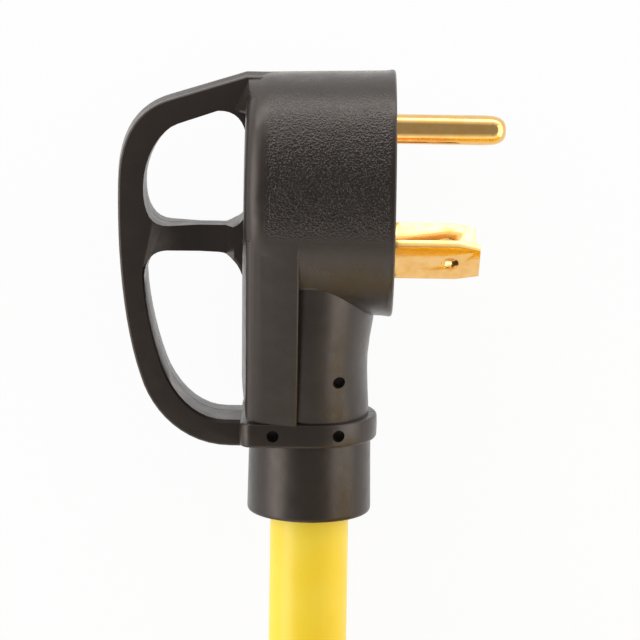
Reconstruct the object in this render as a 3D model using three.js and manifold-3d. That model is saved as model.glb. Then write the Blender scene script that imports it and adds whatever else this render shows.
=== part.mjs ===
// A 30 A, 125 V shore power cord for a travel trailer. The plug has a grip handle, a round ground pin and
// two flat blades at 45 degrees, and it lies on its side. The cord leaves it at a right angle, and is wound
// into a tied coil. The far end is a locking connector whose threaded ring turns.
// Millimetres, +Z up. The plug is drawn in a frame of its own: x along the pins, y away from the cord,
// z across the plug, with the cord's axis at x = 0 and the head's centre at y = 0.
import * as THREE from 'three';
import { mergeVertices } from 'three/addons/utils/BufferGeometryUtils.js';
import Module from 'manifold-3d';

const wasm = await Module();
wasm.setup();

// ---- Fits ----
const seatGap = 0.3; // between pieces that touch
const runGap = 0.4; // between the locking ring and what it turns on

// ---- Plug: head, neck and collar ----
const headRadius = 26; // at the rim of the pin face
const headSwell = 0.15; // how much wider the side is at its middle
const headWaist = 0.3; // how far it draws in just behind the rim
const headShoulder = 0.6; // how far it has drawn in at the back
const headCorner = 3.4; // round of the back edge
const faceX = 17.1; // pin face, ahead of the cord's axis
const backX = 14.9; // flat back, behind the cord's axis
const neckLength = 47.5; // from the head's centre down to the band
const bandHeight = 5.2;
const collarLength = 15.9; // below the band
const collarRadius = 13.4;
const collarRound = 0.8; // round of the collar's lower edge
const spineFrontX = 2.3; // where the spine steps down to the neck, behind the cord's axis
const spineHalfWidth = 13.6; // at the band
const spineCorner = 2.6;
const neckTopDepth = 13.7; // the neck's oval where it leaves the head
const neckTopHalfWidth = 18.8;
const neckTopDrop = 18; // below the head's centre
const neckWaistDepth = 12; // the oval at its narrowest
const neckWaistDrop = 37;
const neckWaisting = 0.45; // share of the narrowing done halfway down to there
const neckEndDepth = 12.4; // the oval at the band
const neckEndHalfWidth = 12.8;
const grooveRadius = 11.4; // the core inside the band
const dimpleRadius = 1.3; // blind holes left by the mould's holding pins
const dimpleDepth = 2.4;
const neckDimpleX = 5.9;
const neckDimpleDrop = 38.7;
const bandDimpleFrontX = 6;
const bandDimpleBackX = 8;

// ---- Plug: grip handle ----
const gripReach = 41.7; // outermost point, behind the cord's axis
const gripHalfThickness = 7.8;
const gripEdge = 0.9; // how much narrower the section is at its two faces
const gripWidth = 5.9; // across the section of the loop
const gripTopY = 24.8; // where the loop's top meets the head
const gripTopThickness = 6.6;
const barTopY = -6.4;
const barThickness = 5.4;
const barHalfThickness = 4.4;
const barInset = 1.5; // from the loop's inside to where the bar gets thinner
const rootFlare = 3.6; // round at the roots on the head's back
const bandWall = 2.9; // the band's thickness in front
const bandCorner = 3;
const bandEdge = 0.4; // chamfer round the band's two edges
const bandBackX = 15.1;
// curves of the handle's outline, each point [in from the loop's outermost line, along y]
const loopTopRise = 1.1; // of the loop's outside where it runs into the head
const loopTopCurve = [[10.7, -4.9], [4.2, -6.9], [0, -12.8], [0, -21]]; // from the loop's top
const loopBackCurve = [[-0.2, 38.8], [3.3, 19.5], [6.4, 11.5]]; // from the band's foot
const loopFootCurve = [[9.7, 4.2], [15.7, 0], [23.7, 0]]; // from the band's foot
const lowerHoleFoot = [[23.2, 0], [17.7, 0], [13.5, 5.5], [11.3, 9.7]]; // from the band's top
const lowerHoleBack = [[8.5, 15.5], [5.9, 24.4], [6.6, 32.8]]; // from the band's top
const upperHoleTop = [[5.9, -9], [10.7, -3.3], [16.2, -1.6], [20.9, -0.2]]; // from the loop's top inside
const barRound = 3.7; // where the middle bar meets the loop, below
const barTopRound = 5.3; // and above
const rootDrop = 7; // the upper root's fillet, down the head's back

// ---- Plug: contacts and what holds them ----
const carrierRadius = 20;
const carrierThickness = 8;
const pinRadius = 3.175;
const pinLength = 23.4;
const pinNose = 3;
const pinNoseCurve = [[1, 1], [0.9, 0.5], [0.62, 0.12], [0.3, 0]]; // share of the radius, of the nose left
const pinOffset = 13.8; // ground pin above the head's centre
const bladeWidth = 11.6;
const bladeThickness = 1.8;
const bladeLength = 18.1;
const bladeChamfer = 1.2;
const bladeChamferLength = 4.8;
const bladeHoleRadius = 1.8;
const bladeHoleInset = 6.3; // from the tip
const bladeDrop = 12.8; // blade's centre below the head's centre
const bladeSide = 8.4; // and to each side
const bladeTilt = 45; // degrees
const barrelRadius = 3.4;
const barrelLength = 8;
const barrelBore = 2;
const tangWidth = 5; // flat between a blade and its barrel
const chamberRadius = 19.4;
const chamberBack = 9.6; // behind the cord's axis
const funnelRadius = 12.4; // the chamber narrows to the cord's passage
const funnelTopDrop = 14;
const funnelDrop = 38;

// ---- Cord ----
const cordLength = 7600; // from the plug's collar to the connector
const cordRadius = 8.5;
const coreRadius = 6.5; // passage for the conductors
const wireRadius = 2.3; // insulated conductor
const strandRadius = 1.5; // its bare copper
const leadRun = [[-75.5, 0.45], [-92, 0.1], [-112, 0.1], [-135, 0.6]]; // along y, and clear of the surface
const strandLength = 5;
const wireSpread = 2.85; // from the cord's axis to each conductor's

// ---- Coil and tie ----
const coilCentreY = -204;
const coilLoops = 11.75; // the last layer lacks a quarter turn
const coilLayers = 4;
const turnsPerLayer = 3;
const coilPitch = 17.5; // from turn to turn and layer to layer
const coilStepsPerLoop = 24;
const coilSides = 6;
const straightEnd = 2 * cordRadius; // run of cord at each end of the coil before it bends
const tieWidth = 22;
const tieThickness = 1.2;
const tieAngle = 0; // degrees round the coil
const tieCorner = 5;
const tieTabLength = 26;

// ---- Far connector, which lies on the coil ----
const connectorLean = 11; // degrees, as its ring holds its front up
const connectorRise = 14.3; // from the coil's top to the connector's axis, where the cord enters it
const connectorX = -18; // the same place, from the coil's centre
const connectorY = -99;
// the tail's way from the coil's top to the connector
const tailLeave = [[26.2, 1.9, 0.4], [45.8, 8.6, 2]]; // first points, back, in and up from its start
const tailClimb = [[141, 2.5, 8], [160, 1, 14.6]]; // then degrees, out and up from the outermost turn
const tailSweep = [180, 198, 216, 234, 252]; // degrees round, where it lies on the turns below it
const tailLift = 0.2; // at the last of these
const reliefLength = 34;
const reliefMouthRadius = 11.5;
const reliefRootRadius = 14.5;
const reliefGroove = 1.1;
const reliefRibs = 5;
const gripRadius = 24;
const gripLength = 41; // from the relief to the ring
const barrelFrontRadius = 21;
const barrelFrontLength = 23;
const cavityRadius = 18;
const flangeRadius = 24;
const flangeThickness = 2.4;
const ringRadius = 30;
const ringLength = 30;
const ringLip = 7;
const ringBore = 26.2;
const threadDepth = 0.9;
const threadPitch = 3.2;
const threadTurns = 3;
const knurlCount = 16;
const knurlRadius = 1.6;
const gasketThickness = 2;
const plateThickness = 8;
const slotCircle = 9.6; // radius that the three slots lie on
const slotWidth = 2.2;
const slotArc = 52; // degrees that each slot spans
const socketHeight = 12;
const socketDepth = 4.6;

const past = 5; // how far a cut reaches past what it cuts
const degree = Math.PI / 180;
const v2 = (x, y) => new THREE.Vector2(x, y);
const v3 = (x, y, z) => new THREE.Vector3(x, y, z);

// ---- Shape helpers ----

// A closed three.js geometry as a solid that can be cut and joined.
function solid(geometry) {
  const bare = new THREE.BufferGeometry();
  bare.setAttribute('position', geometry.getAttribute('position'));
  bare.setIndex(geometry.getIndex());
  const merged = mergeVertices(bare, 1e-4);
  return new wasm.Manifold(
    new wasm.Mesh({
      numProp: 3,
      vertProperties: merged.getAttribute('position').array,
      triVerts: new Uint32Array(merged.getIndex().array),
    }),
  );
}

function geometryOf(shape) {
  const mesh = shape.getMesh();
  const geometry = new THREE.BufferGeometry();
  geometry.setAttribute('position', new THREE.BufferAttribute(mesh.vertProperties, 3));
  geometry.setIndex(new THREE.BufferAttribute(mesh.triVerts, 1));
  geometry.computeVertexNormals();
  return geometry;
}

const box = (x0, x1, y0, y1, z0, z1) =>
  new THREE.BoxGeometry(x1 - x0, y1 - y0, z1 - z0).translate((x0 + x1) / 2, (y0 + y1) / 2, (z0 + z1) / 2);

// A body turned round the y axis. The profile is [radius, y] from low y to high y, and starts and ends
// on the axis.
const turned = (profile, segments) =>
  new THREE.LatheGeometry(profile.map(([radius, y]) => v2(radius, y)), segments);

// A turned tube: its profile closes on itself, up the outside and down the inside.
const turnedTube = (outside, inside, segments) => turned([...outside, ...inside, outside[0]], segments);

const turnedAlongX = (profile, segments) => turned(profile, segments).rotateZ(-Math.PI / 2);

// A round rod from y0 to y1 about an axis at (x, z).
const rodAlongY = (radius, y0, y1, x, z, segments) =>
  new THREE.CylinderGeometry(radius, radius, y1 - y0, segments).translate(x, (y0 + y1) / 2, z);

// A round rod from x0 to x1 about an axis at (y, z).
const rodAlongX = (radius, x0, x1, y, z, segments) =>
  new THREE.CylinderGeometry(radius, radius, x1 - x0, segments)
    .rotateZ(-Math.PI / 2)
    .translate((x0 + x1) / 2, y, z);

const rodAlongZ = (radius, z0, z1, x, y, segments) =>
  new THREE.CylinderGeometry(radius, radius, z1 - z0, segments)
    .rotateX(Math.PI / 2)
    .translate(x, y, (z0 + z1) / 2);

// Rings of points joined into a closed skin, with a fan over each end ring.
function loft(rings) {
  const count = rings[0].length;
  const positions = rings.flat().flatMap((p) => [p.x, p.y, p.z]);
  const index = [];
  for (let r = 0; r + 1 < rings.length; r++) {
    for (let i = 0; i < count; i++) {
      const a = r * count + i;
      const b = r * count + ((i + 1) % count);
      index.push(a, b, b + count, a, b + count, a + count);
    }
  }
  const last = (rings.length - 1) * count;
  for (let i = 1; i + 1 < count; i++) {
    index.push(0, i + 1, i);
    index.push(last, last + i, last + i + 1);
  }
  const geometry = new THREE.BufferGeometry();
  geometry.setAttribute('position', new THREE.Float32BufferAttribute(positions, 3));
  geometry.setIndex(index);
  geometry.computeVertexNormals();
  return geometry;
}

// A round cord or wire through the given points.
function tube(points, radius, sides, steps) {
  const corner = (i) => v2(radius, 0).rotateAround(v2(0, 0), (2 * Math.PI * (i + 0.5)) / sides);
  const section = new THREE.Shape(Array.from({ length: sides }, (_, i) => corner(i)));
  const extrudePath = new THREE.CatmullRomCurve3(points);
  return new THREE.ExtrudeGeometry(section, { extrudePath, steps, bevelEnabled: false });
}

// The lean of a line that touches two circles, one of the far radius at the given distance from the other.
const leanOf = (distance, farRadius, nearRadius) =>
  Math.asin(nearRadius / Math.hypot(distance, farRadius)) - Math.atan2(farRadius, distance);

const finish = (color, roughness, metalness = 0) =>
  new THREE.MeshStandardMaterial({ color, roughness, metalness });
const blackVinyl = finish(0x35302e, 0.6);
const insertPlastic = finish(0x26282a, 0.5);
const brass = finish(0xd9a441, 0.25, 1);
const copper = finish(0xb5673a, 0.35, 1);
const yellowVinyl = finish(0xfde040, 0.5);
const greenInsulation = finish(0x1f7a3d, 0.5);
const blackInsulation = finish(0x1c1c1c, 0.5);
const whiteInsulation = finish(0xe9e7e0, 0.5);
const hookAndLoop = finish(0x222224, 0.95);
const ringPlastic = finish(0x2b2c2e, 0.4);
const gasketRubber = finish(0x8a2f22, 0.7);
const platePlastic = finish(0xf0ede4, 0.45);

function named(name, shape, material) {
  const geometry = shape.isBufferGeometry ? shape : geometryOf(shape);
  const mesh = new THREE.Mesh(geometry, material);
  mesh.name = name;
  return mesh;
}

// ---- Plug housing ----

const bandTopY = -neckLength - seatGap;
const bandBottomY = bandTopY - bandHeight;
const collarTopY = bandBottomY - seatGap;
const collarEndY = collarTopY - collarLength;
const headWidest = headRadius + headSwell;
const carrierBackX = faceX - carrierThickness;

function headDrum() {
  const backRadius = headRadius - headShoulder;
  const corner = [30, 60].map((a) => [
    backRadius - headCorner * (1 - Math.sin(a * degree)),
    -backX + headCorner * (1 - Math.cos(a * degree)),
  ]);
  return turnedAlongX(
    [
      [0, -backX],
      [backRadius - headCorner, -backX],
      ...corner,
      [backRadius, -backX + headCorner],
      [headWidest, (faceX - backX) / 2],
      [headRadius - headWaist, faceX * 0.8],
      [headRadius, faceX - bandEdge],
      [headRadius - bandEdge, faceX],
      [0, faceX],
    ],
    60,
  );
}

// The spine's flat sides lean in from the head's round side, which they meet tangentially, to the band.
function spine() {
  const lean = leanOf(neckLength, spineHalfWidth, headRadius - headShoulder);
  const topHalf = (headRadius - headShoulder) * Math.cos(lean);
  const topY = -(headRadius - headShoulder) * Math.sin(lean);
  const outline = new THREE.Shape([
    v2(topHalf, topY),
    v2(0, topY + topHalf / 2),
    v2(-topHalf, topY),
    v2(-spineHalfWidth, -neckLength),
    v2(spineHalfWidth, -neckLength),
  ]);
  const slab = new THREE.ExtrudeGeometry(outline, {
    depth: backX,
    bevelThickness: spineCorner,
    bevelSize: spineCorner,
    bevelOffset: -spineCorner,
    bevelSegments: 3,
  });
  slab.rotateY(Math.PI / 2).translate(-backX + spineCorner, 0, 0);
  const wide = 2 * headRadius;
  const frontHalf = solid(box(-spineFrontX, backX + past, -2 * neckLength, neckLength, -wide, wide));
  return solid(slab).subtract(frontHalf);
}

function ovalRing(y, depth, halfWidth, count) {
  return Array.from({ length: count }, (_, i) => {
    const a = (-2 * Math.PI * i) / count;
    return v3(depth * Math.cos(a), y, halfWidth * Math.sin(a));
  });
}

function neckHalfWidthAt(drop) {
  const slope = (neckTopHalfWidth - neckEndHalfWidth) / (neckLength - neckTopDrop);
  return neckTopHalfWidth - slope * (drop - neckTopDrop);
}

// The neck is oval where it leaves the head and nearly round at the band.
function neck() {
  const buried = headRadius / 4;
  const middle = (neckTopDrop + neckWaistDrop) / 2;
  const middleDepth = neckTopDepth + (neckWaistDepth - neckTopDepth) * neckWaisting;
  return loft(
    [
      [neckLength, neckEndDepth],
      [neckWaistDrop, neckWaistDepth],
      [middle, middleDepth],
      [neckTopDrop, neckTopDepth],
      [buried, neckTopDepth],
    ].map(([drop, depth]) => ovalRing(-drop, depth, neckHalfWidthAt(drop), 40)),
  );
}

// A blind hole into each side of the plug, where a pin of the mould held what is inside.
function dimples(shape, x, y, surface, depth) {
  let pitted = shape;
  for (const out of [-1, 1]) {
    const ends = [out * (surface - depth), out * (surface + past)].sort((a, b) => a - b);
    pitted = pitted.subtract(solid(rodAlongZ(dimpleRadius, ...ends, x, y, 16)));
  }
  return pitted;
}

function headOvermould() {
  const collar = turned(
    [
      [0, collarEndY],
      [collarRadius - collarRound, collarEndY],
      [collarRadius, collarEndY + collarRound],
      [collarRadius, collarTopY],
      [0, collarTopY],
    ],
    48,
  );
  const core = rodAlongY(grooveRadius, collarTopY - 1, -neckLength + 1, 0, 0, 32);
  // a pad under the handle's upper root squares off the head's rounded back edge there
  const pad = box(
    -backX,
    -backX + headCorner + 1,
    gripTopY - gripTopThickness,
    gripTopY - gripEdge,
    -gripHalfThickness,
    gripHalfThickness,
  );
  const carrierSeat = rodAlongX(carrierRadius + seatGap, carrierBackX - seatGap, faceX + past, 0, 0, 48);
  const chamber = rodAlongX(chamberRadius, -chamberBack, faceX, 0, 0, 40);
  const passage = turned(
    [
      [0, collarEndY - past],
      [coreRadius, collarEndY - past],
      [coreRadius, -funnelDrop],
      [funnelRadius, -funnelTopDrop],
      [0, -funnelTopDrop],
    ],
    24,
  );
  let housing = solid(headDrum()).add(spine()).add(solid(neck())).add(solid(collar)).add(solid(core));
  housing = housing.add(solid(pad));
  housing = housing.subtract(solid(carrierSeat)).subtract(solid(chamber)).subtract(solid(passage));
  const side = neckHalfWidthAt(neckDimpleDrop) * Math.sqrt(1 - (neckDimpleX / neckWaistDepth) ** 2);
  return dimples(housing, neckDimpleX, -neckDimpleDrop, side, dimpleDepth);
}

// ---- Grip handle with its band round the neck ----

function handleOutline() {
  const rootX = -backX - seatGap;
  const buriedX = rootX + rootFlare; // the roots are drawn past the head's back and trimmed there
  const innerX = gripWidth - gripReach;
  const topInnerY = gripTopY - gripTopThickness;
  const barBottomY = barTopY - barThickness;
  const footX = -grooveRadius - bandWall / 2;
  const footTopY = bandTopY - bandEdge;
  const outline = new THREE.Shape();
  const at = (y) => ([inwards, along]) => [inwards - gripReach, y + along];
  const curve = (points, y) => outline.bezierCurveTo(...points.flatMap(at(y)));
  // outside of the loop, from the head down to the band
  outline.moveTo(buriedX, gripTopY + loopTopRise);
  outline.lineTo(...at(gripTopY)(loopTopCurve[0]));
  curve(loopTopCurve.slice(1), gripTopY);
  curve(loopBackCurve, bandBottomY);
  curve(loopFootCurve, bandBottomY);
  outline.lineTo(footX, bandBottomY);
  outline.lineTo(footX, footTopY);
  // lower finger hole, back up to the middle bar
  outline.lineTo(...at(footTopY)(lowerHoleFoot[0]));
  curve(lowerHoleFoot.slice(1), footTopY);
  curve(lowerHoleBack, footTopY);
  outline.quadraticCurveTo(innerX, barBottomY, innerX + barRound, barBottomY);
  outline.lineTo(rootX - rootFlare - 1, barBottomY);
  outline.quadraticCurveTo(rootX, barBottomY, rootX, barBottomY - rootFlare);
  outline.lineTo(buriedX, barBottomY - rootFlare - 1);
  outline.lineTo(buriedX, barTopY + rootFlare + 1);
  // upper finger hole
  outline.lineTo(rootX, barTopY + rootFlare);
  outline.quadraticCurveTo(rootX, barTopY, rootX - rootFlare, barTopY);
  outline.lineTo(innerX + barTopRound, barTopY);
  outline.quadraticCurveTo(innerX, barTopY, innerX, barTopY + barTopRound);
  curve(upperHoleTop.slice(0, 3), topInnerY);
  outline.lineTo(...at(topInnerY)(upperHoleTop[3]));
  outline.quadraticCurveTo(rootX, topInnerY, rootX, topInnerY - rootDrop);
  outline.lineTo(buriedX, topInnerY - rootDrop - 1);
  return outline;
}

// The band hugs the neck's groove. Its back is flat, where the handle runs into it.
function band() {
  const sides = 18;
  const outside = grooveRadius + bandWall;
  const front = Array.from({ length: sides + 1 }, (_, i) => {
    const a = -Math.PI / 2 + (Math.PI * i) / sides;
    return v2(outside * Math.cos(a), outside * Math.sin(a));
  });
  const back = [90, 120, 150, 180].map((deg) =>
    v2(
      -bandBackX + bandCorner + bandCorner * Math.cos(deg * degree),
      outside - bandCorner + bandCorner * Math.sin(deg * degree),
    ),
  );
  const mirrored = back.map((p) => v2(p.x, -p.y)).reverse();
  const outline = new THREE.Shape([...front, ...back, ...mirrored]);
  const block = new THREE.ExtrudeGeometry(outline, {
    depth: bandHeight - 2 * bandEdge,
    bevelThickness: bandEdge,
    bevelSize: bandEdge,
    bevelOffset: -bandEdge,
    bevelSegments: 1,
  });
  // the outline's y becomes the plug's z, and the depth runs down the neck
  block.rotateX(Math.PI / 2).translate(0, bandTopY - bandEdge, 0);
  const middleY = bandTopY - bandHeight / 2;
  const frontSurface = Math.sqrt(outside ** 2 - bandDimpleFrontX ** 2);
  const pitted = dimples(solid(block), bandDimpleFrontX, middleY, frontSurface, dimpleDepth / 2);
  return dimples(pitted, -bandDimpleBackX, middleY, outside, dimpleDepth / 2);
}

function gripHandle() {
  const slab = new THREE.ExtrudeGeometry(handleOutline(), {
    depth: 1,
    curveSegments: 8,
    bevelThickness: gripHalfThickness - 0.5,
    bevelSize: gripEdge,
    bevelOffset: -gripEdge,
    bevelSegments: 3,
  });
  slab.translate(0, 0, -0.5);
  // the middle bar is thinner than the loop
  const barY = barTopY - barThickness / 2;
  const barReach = barThickness / 2 + rootFlare + 1;
  const barFromX = gripWidth - gripReach + barInset;
  const barToX = -backX - seatGap - rootFlare;
  const clear = gripHalfThickness + past;
  const shave = (z0, z1) => solid(box(barFromX, barToX, barY - barReach, barY + barReach, z0, z1));
  const pastBack = solid(box(-backX - seatGap, 0, bandTopY, headRadius + past, -clear, clear));
  const bore = solid(rodAlongY(grooveRadius + seatGap, bandBottomY - past, bandTopY + past, 0, 0, 40));
  const loop = solid(slab)
    .subtract(shave(barHalfThickness, clear))
    .subtract(shave(-clear, -barHalfThickness))
    .subtract(pastBack);
  return loop.add(band()).subtract(bore);
}

// ---- Contacts ----

const barrelFrontX = carrierBackX - seatGap;

// The crimp barrel behind a contact, open at its back for the bare strands.
const crimpBarrel = (y, z) =>
  solid(rodAlongX(barrelRadius, barrelFrontX - barrelLength, barrelFrontX, y, z, 20)).subtract(
    solid(rodAlongX(barrelBore, barrelFrontX - barrelLength - 2, barrelFrontX - 2, y, z, 16)),
  );

function groundPin() {
  const tipX = faceX + pinLength;
  const shaft = turnedAlongX(
    [
      [0, barrelFrontX - 1],
      [pinRadius, barrelFrontX - 1],
      ...pinNoseCurve.map(([across, left]) => [pinRadius * across, tipX - pinNose * left]),
      [0, tipX],
    ],
    24,
  ).translate(0, pinOffset, 0);
  return solid(shaft).add(crimpBarrel(pinOffset, 0));
}

// A blade stands across its own y, and is turned about its own middle to its 45 degrees.
function blade(side) {
  const half = bladeWidth / 2;
  const tipX = faceX + bladeLength;
  const outline = new THREE.Shape([
    v2(barrelFrontX, -tangWidth / 2),
    v2(carrierBackX + 1, -tangWidth / 2),
    v2(carrierBackX + 1, -half),
    v2(tipX - bladeChamferLength, -half),
    v2(tipX, -half + bladeChamfer),
    v2(tipX, half - bladeChamfer),
    v2(tipX - bladeChamferLength, half),
    v2(carrierBackX + 1, half),
    v2(carrierBackX + 1, tangWidth / 2),
    v2(barrelFrontX - 1, tangWidth / 2),
    v2(barrelFrontX - 1, -tangWidth / 2),
  ]);
  const plate = new THREE.ExtrudeGeometry(outline, { depth: bladeThickness, bevelEnabled: false });
  plate.translate(0, 0, -bladeThickness / 2);
  const hole = rodAlongZ(bladeHoleRadius, -bladeThickness, bladeThickness, tipX - bladeHoleInset, 0, 20);
  const flat = geometryOf(solid(plate).subtract(solid(hole)));
  flat.rotateX(side * bladeTilt * degree).translate(0, -bladeDrop, side * bladeSide);
  return solid(flat).add(crimpBarrel(-bladeDrop, side * bladeSide));
}

function bladeCarrier() {
  let disc = solid(rodAlongX(carrierRadius, carrierBackX, faceX - 0.2, 0, 0, 48));
  const bore = rodAlongX(pinRadius + seatGap, carrierBackX - past, faceX + past, pinOffset, 0, 24);
  disc = disc.subtract(solid(bore));
  for (const side of [-1, 1]) {
    const half = bladeWidth / 2 + seatGap;
    const halfSlot = bladeThickness / 2 + seatGap;
    const slot = box(carrierBackX - past, faceX + past, -half, half, -halfSlot, halfSlot);
    slot.rotateX(side * bladeTilt * degree).translate(0, -bladeDrop, side * bladeSide);
    disc = disc.subtract(solid(slot));
  }
  return disc;
}

// ---- Conductors inside the plug ----

const wireEndX = barrelFrontX - barrelLength - seatGap - strandLength / 2;

// The bare strands run from inside a barrel to the end of the insulation.
const plugStrands = (y, z) =>
  rodAlongX(strandRadius, wireEndX + seatGap, barrelFrontX - 2 - seatGap, y, z, 12);

// Each conductor turns down behind its barrel and joins the other two in the neck.
function plugWire(y, z, restX, restZ) {
  const bend = 3.5;
  const across = (share) => z + (restZ - z) * share;
  const along = (share) => wireEndX - bend + (restX - wireEndX + bend) * share;
  const turnY = y - bend;
  const down = (share) => turnY - (funnelDrop + turnY) * share;
  return tube(
    [
      v3(wireEndX, y, z),
      v3(wireEndX - wireRadius, y - 0.2, z),
      v3(along(0), turnY, across(0.18)),
      v3(along(0.2), down(0.3), across(0.48)),
      v3(along(0.82), down(0.68), across(0.86)),
      v3(restX, -funnelDrop, restZ),
      v3(restX, -neckLength, restZ),
      v3(restX, collarEndY + seatGap, restZ),
    ],
    wireRadius,
    8,
    18,
  );
}

// ---- Plug assembly ----

const plug = new THREE.Group();
const restAcross = wireSpread * Math.sin(60 * degree);
const restAhead = wireSpread * Math.cos(60 * degree);
plug.add(
  named('head_overmould', headOvermould(), blackVinyl),
  named('grip_handle', gripHandle(), blackVinyl),
  named('blade_carrier', bladeCarrier(), insertPlastic),
  named('ground_pin', groundPin(), brass),
  named('hot_blade', blade(1), brass),
  named('neutral_blade', blade(-1), brass),
  named('plug_ground_strands', plugStrands(pinOffset, 0), copper),
  named('plug_hot_strands', plugStrands(-bladeDrop, bladeSide), copper),
  named('plug_neutral_strands', plugStrands(-bladeDrop, -bladeSide), copper),
  named('plug_ground_wire', plugWire(pinOffset, 0, -wireSpread, 0), greenInsulation),
  named('plug_hot_wire', plugWire(-bladeDrop, bladeSide, restAhead, restAcross), blackInsulation),
  named('plug_neutral_wire', plugWire(-bladeDrop, -bladeSide, restAhead, -restAcross), whiteInsulation),
);

// The plug lies on its side, on the head's rim and the end of the collar. The origin is under the middle
// of what the plug covers.
const tilt = leanOf(-collarEndY, collarRadius, headWidest);
plug.rotation.x = tilt;
const collarFootY = collarEndY * Math.cos(tilt) - collarRadius * Math.sin(tilt);
plug.position.set(
  (gripReach - faceX - pinLength) / 2,
  -(headWidest + collarFootY) / 2,
  headWidest,
);
plug.updateMatrixWorld(true);

// ---- Cord from the plug to the coil ----

const layerZ = cordRadius + tieThickness + seatGap;
const straightY = coilCentreY + straightEnd + seatGap; // where the coil's cord begins
const exit = plug.localToWorld(v3(0, collarEndY - seatGap, 0));
const exitAhead = plug.localToWorld(v3(0, collarEndY - seatGap - 2 * cordRadius, 0));
const leadPoints = [
  exit,
  exitAhead,
  ...leadRun.map(([y, clear]) => v3(exit.x, y, cordRadius + clear)),
  v3(exit.x, straightY + 2 * cordRadius, layerZ),
  v3(exit.x, straightY, layerZ),
];
const lengthOf = (points) => new THREE.CatmullRomCurve3(points).getLength();

// The free end leaves the top layer at the side nearest the plug. It climbs on round the outermost turn,
// comes in over the turns below it and runs into the connector. Places are taken from the coil's centre.
const topLayerZ = layerZ + (coilLayers - 1) * coilPitch;
const lean = connectorLean * degree;
const connectorAxis = v3(Math.cos(lean), 0, Math.sin(lean));
const connectorMouth = v3(connectorX, connectorY, topLayerZ + cordRadius + connectorRise);

function tailPointsFor(outer, start) {
  const overZ = topLayerZ + coilPitch;
  const ellipse = (x, halfX, halfY, angle, z) =>
    v3(x + halfX * Math.cos(angle * degree), halfY * Math.sin(angle * degree), z);
  const round = (angle, radius, z) => ellipse(0, radius, radius, angle, z);
  const middleX = connectorX - straightEnd;
  const inwards = (angle, z) => ellipse(middleX, outer + middleX, -connectorY, angle, z);
  const end = connectorMouth.clone().addScaledVector(connectorAxis, -seatGap);
  return [
    start,
    start.clone().add(v3(-cordRadius, 0, 0)),
    ...tailLeave.map(([back, aside, up]) => start.clone().add(v3(-back, -aside, up))),
    ...tailClimb.map(([angle, out, up]) => round(angle, outer + out, topLayerZ + up)),
    ...tailSweep.map((angle) => inwards(angle, overZ + (angle === tailSweep.at(-1) ? tailLift : 0))),
    end.clone().addScaledVector(connectorAxis, -2 * cordRadius),
    end,
  ];
}

// ---- Coil ----

// The radius follows from the cord's length, less its two free stretches. The tail's length hangs on that
// radius in its turn, so both are settled together.
const halfBuild = (turnsPerLayer * coilPitch) / 2;
const missing = coilLayers * turnsPerLayer - coilLoops;
const coilTopOf = (outer) => v3(-straightEnd - seatGap, outer - missing * coilPitch, topLayerZ);
let outerRadius = cordLength / (2 * Math.PI * coilLoops);
for (let pass = 0; pass < 8; pass++) {
  const tailLength = lengthOf(tailPointsFor(outerRadius, coilTopOf(outerRadius)));
  const coilLength = cordLength - lengthOf(leadPoints) - tailLength - 2 * straightEnd;
  const lack = missing * (halfBuild - (missing * coilPitch) / 2);
  outerRadius = (coilLength / (2 * Math.PI) + lack) / coilLoops + halfBuild;
}
const innerRadius = outerRadius - 2 * halfBuild;
const coilCentre = v3(exit.x + outerRadius, coilCentreY, 0);
const startAngle = Math.PI;

// The loops spiral in and out at a steady rate. They climb a layer in the half turn where they reverse.
function coilPoint(turns) {
  const layer = Math.min(Math.floor(turns / turnsPerLayer), coilLayers - 1);
  const share = turns / turnsPerLayer - layer;
  const inwards = layer % 2 === 0 ? share : 1 - share;
  const radius = outerRadius + (innerRadius - outerRadius) * inwards;
  let height = 0;
  for (let k = 1; k < coilLayers; k++) {
    const through = THREE.MathUtils.clamp((turns - k * turnsPerLayer) * 2 + 0.5, 0, 1);
    height += through * through * (3 - 2 * through);
  }
  const angle = startAngle + 2 * Math.PI * turns;
  return v3(
    coilCentre.x + radius * Math.cos(angle),
    coilCentre.y + radius * Math.sin(angle),
    layerZ + coilPitch * height,
  );
}

// Each ring of the tube stands square to the cord's run there, with a corner at its top and its foot.
// The two ends run straight on.
function coilRings() {
  const steps = Math.round(coilLoops * coilStepsPerLoop);
  const up = v3(0, 0, 1);
  const wound = Array.from({ length: steps + 1 }, (_, step) => {
    const turns = step / coilStepsPerLoop;
    const angle = startAngle + 2 * Math.PI * turns;
    const outward = v3(Math.cos(angle), Math.sin(angle), 0);
    return Array.from({ length: coilSides }, (_, side) => {
      const a = (2 * Math.PI * side) / coilSides;
      return coilPoint(turns)
        .addScaledVector(up, cordRadius * Math.cos(a))
        .addScaledVector(outward, cordRadius * Math.sin(a));
    });
  });
  const moved = (ring, x, y) => ring.map((p) => v3(p.x + x, p.y + y, p.z));
  return [moved(wound[0], 0, straightEnd), ...wound, moved(wound.at(-1), -straightEnd, 0)];
}

// The least distance between points of the tube that lie more than half a loop apart.
function leastGap(rings) {
  let least = Infinity;
  rings.forEach((ring, i) => {
    for (let j = i + coilStepsPerLoop / 2; j < rings.length; j++) {
      for (const p of ring) {
        for (const q of rings[j]) {
          least = Math.min(least, p.distanceTo(q));
        }
      }
    }
  });
  return least;
}

const rings = coilRings();
console.log('coil: least gap to itself', leastGap(rings).toFixed(2), 'mm');
console.log('coil: turns from', innerRadius.toFixed(1), 'to', outerRadius.toFixed(1), 'mm radius');

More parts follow.
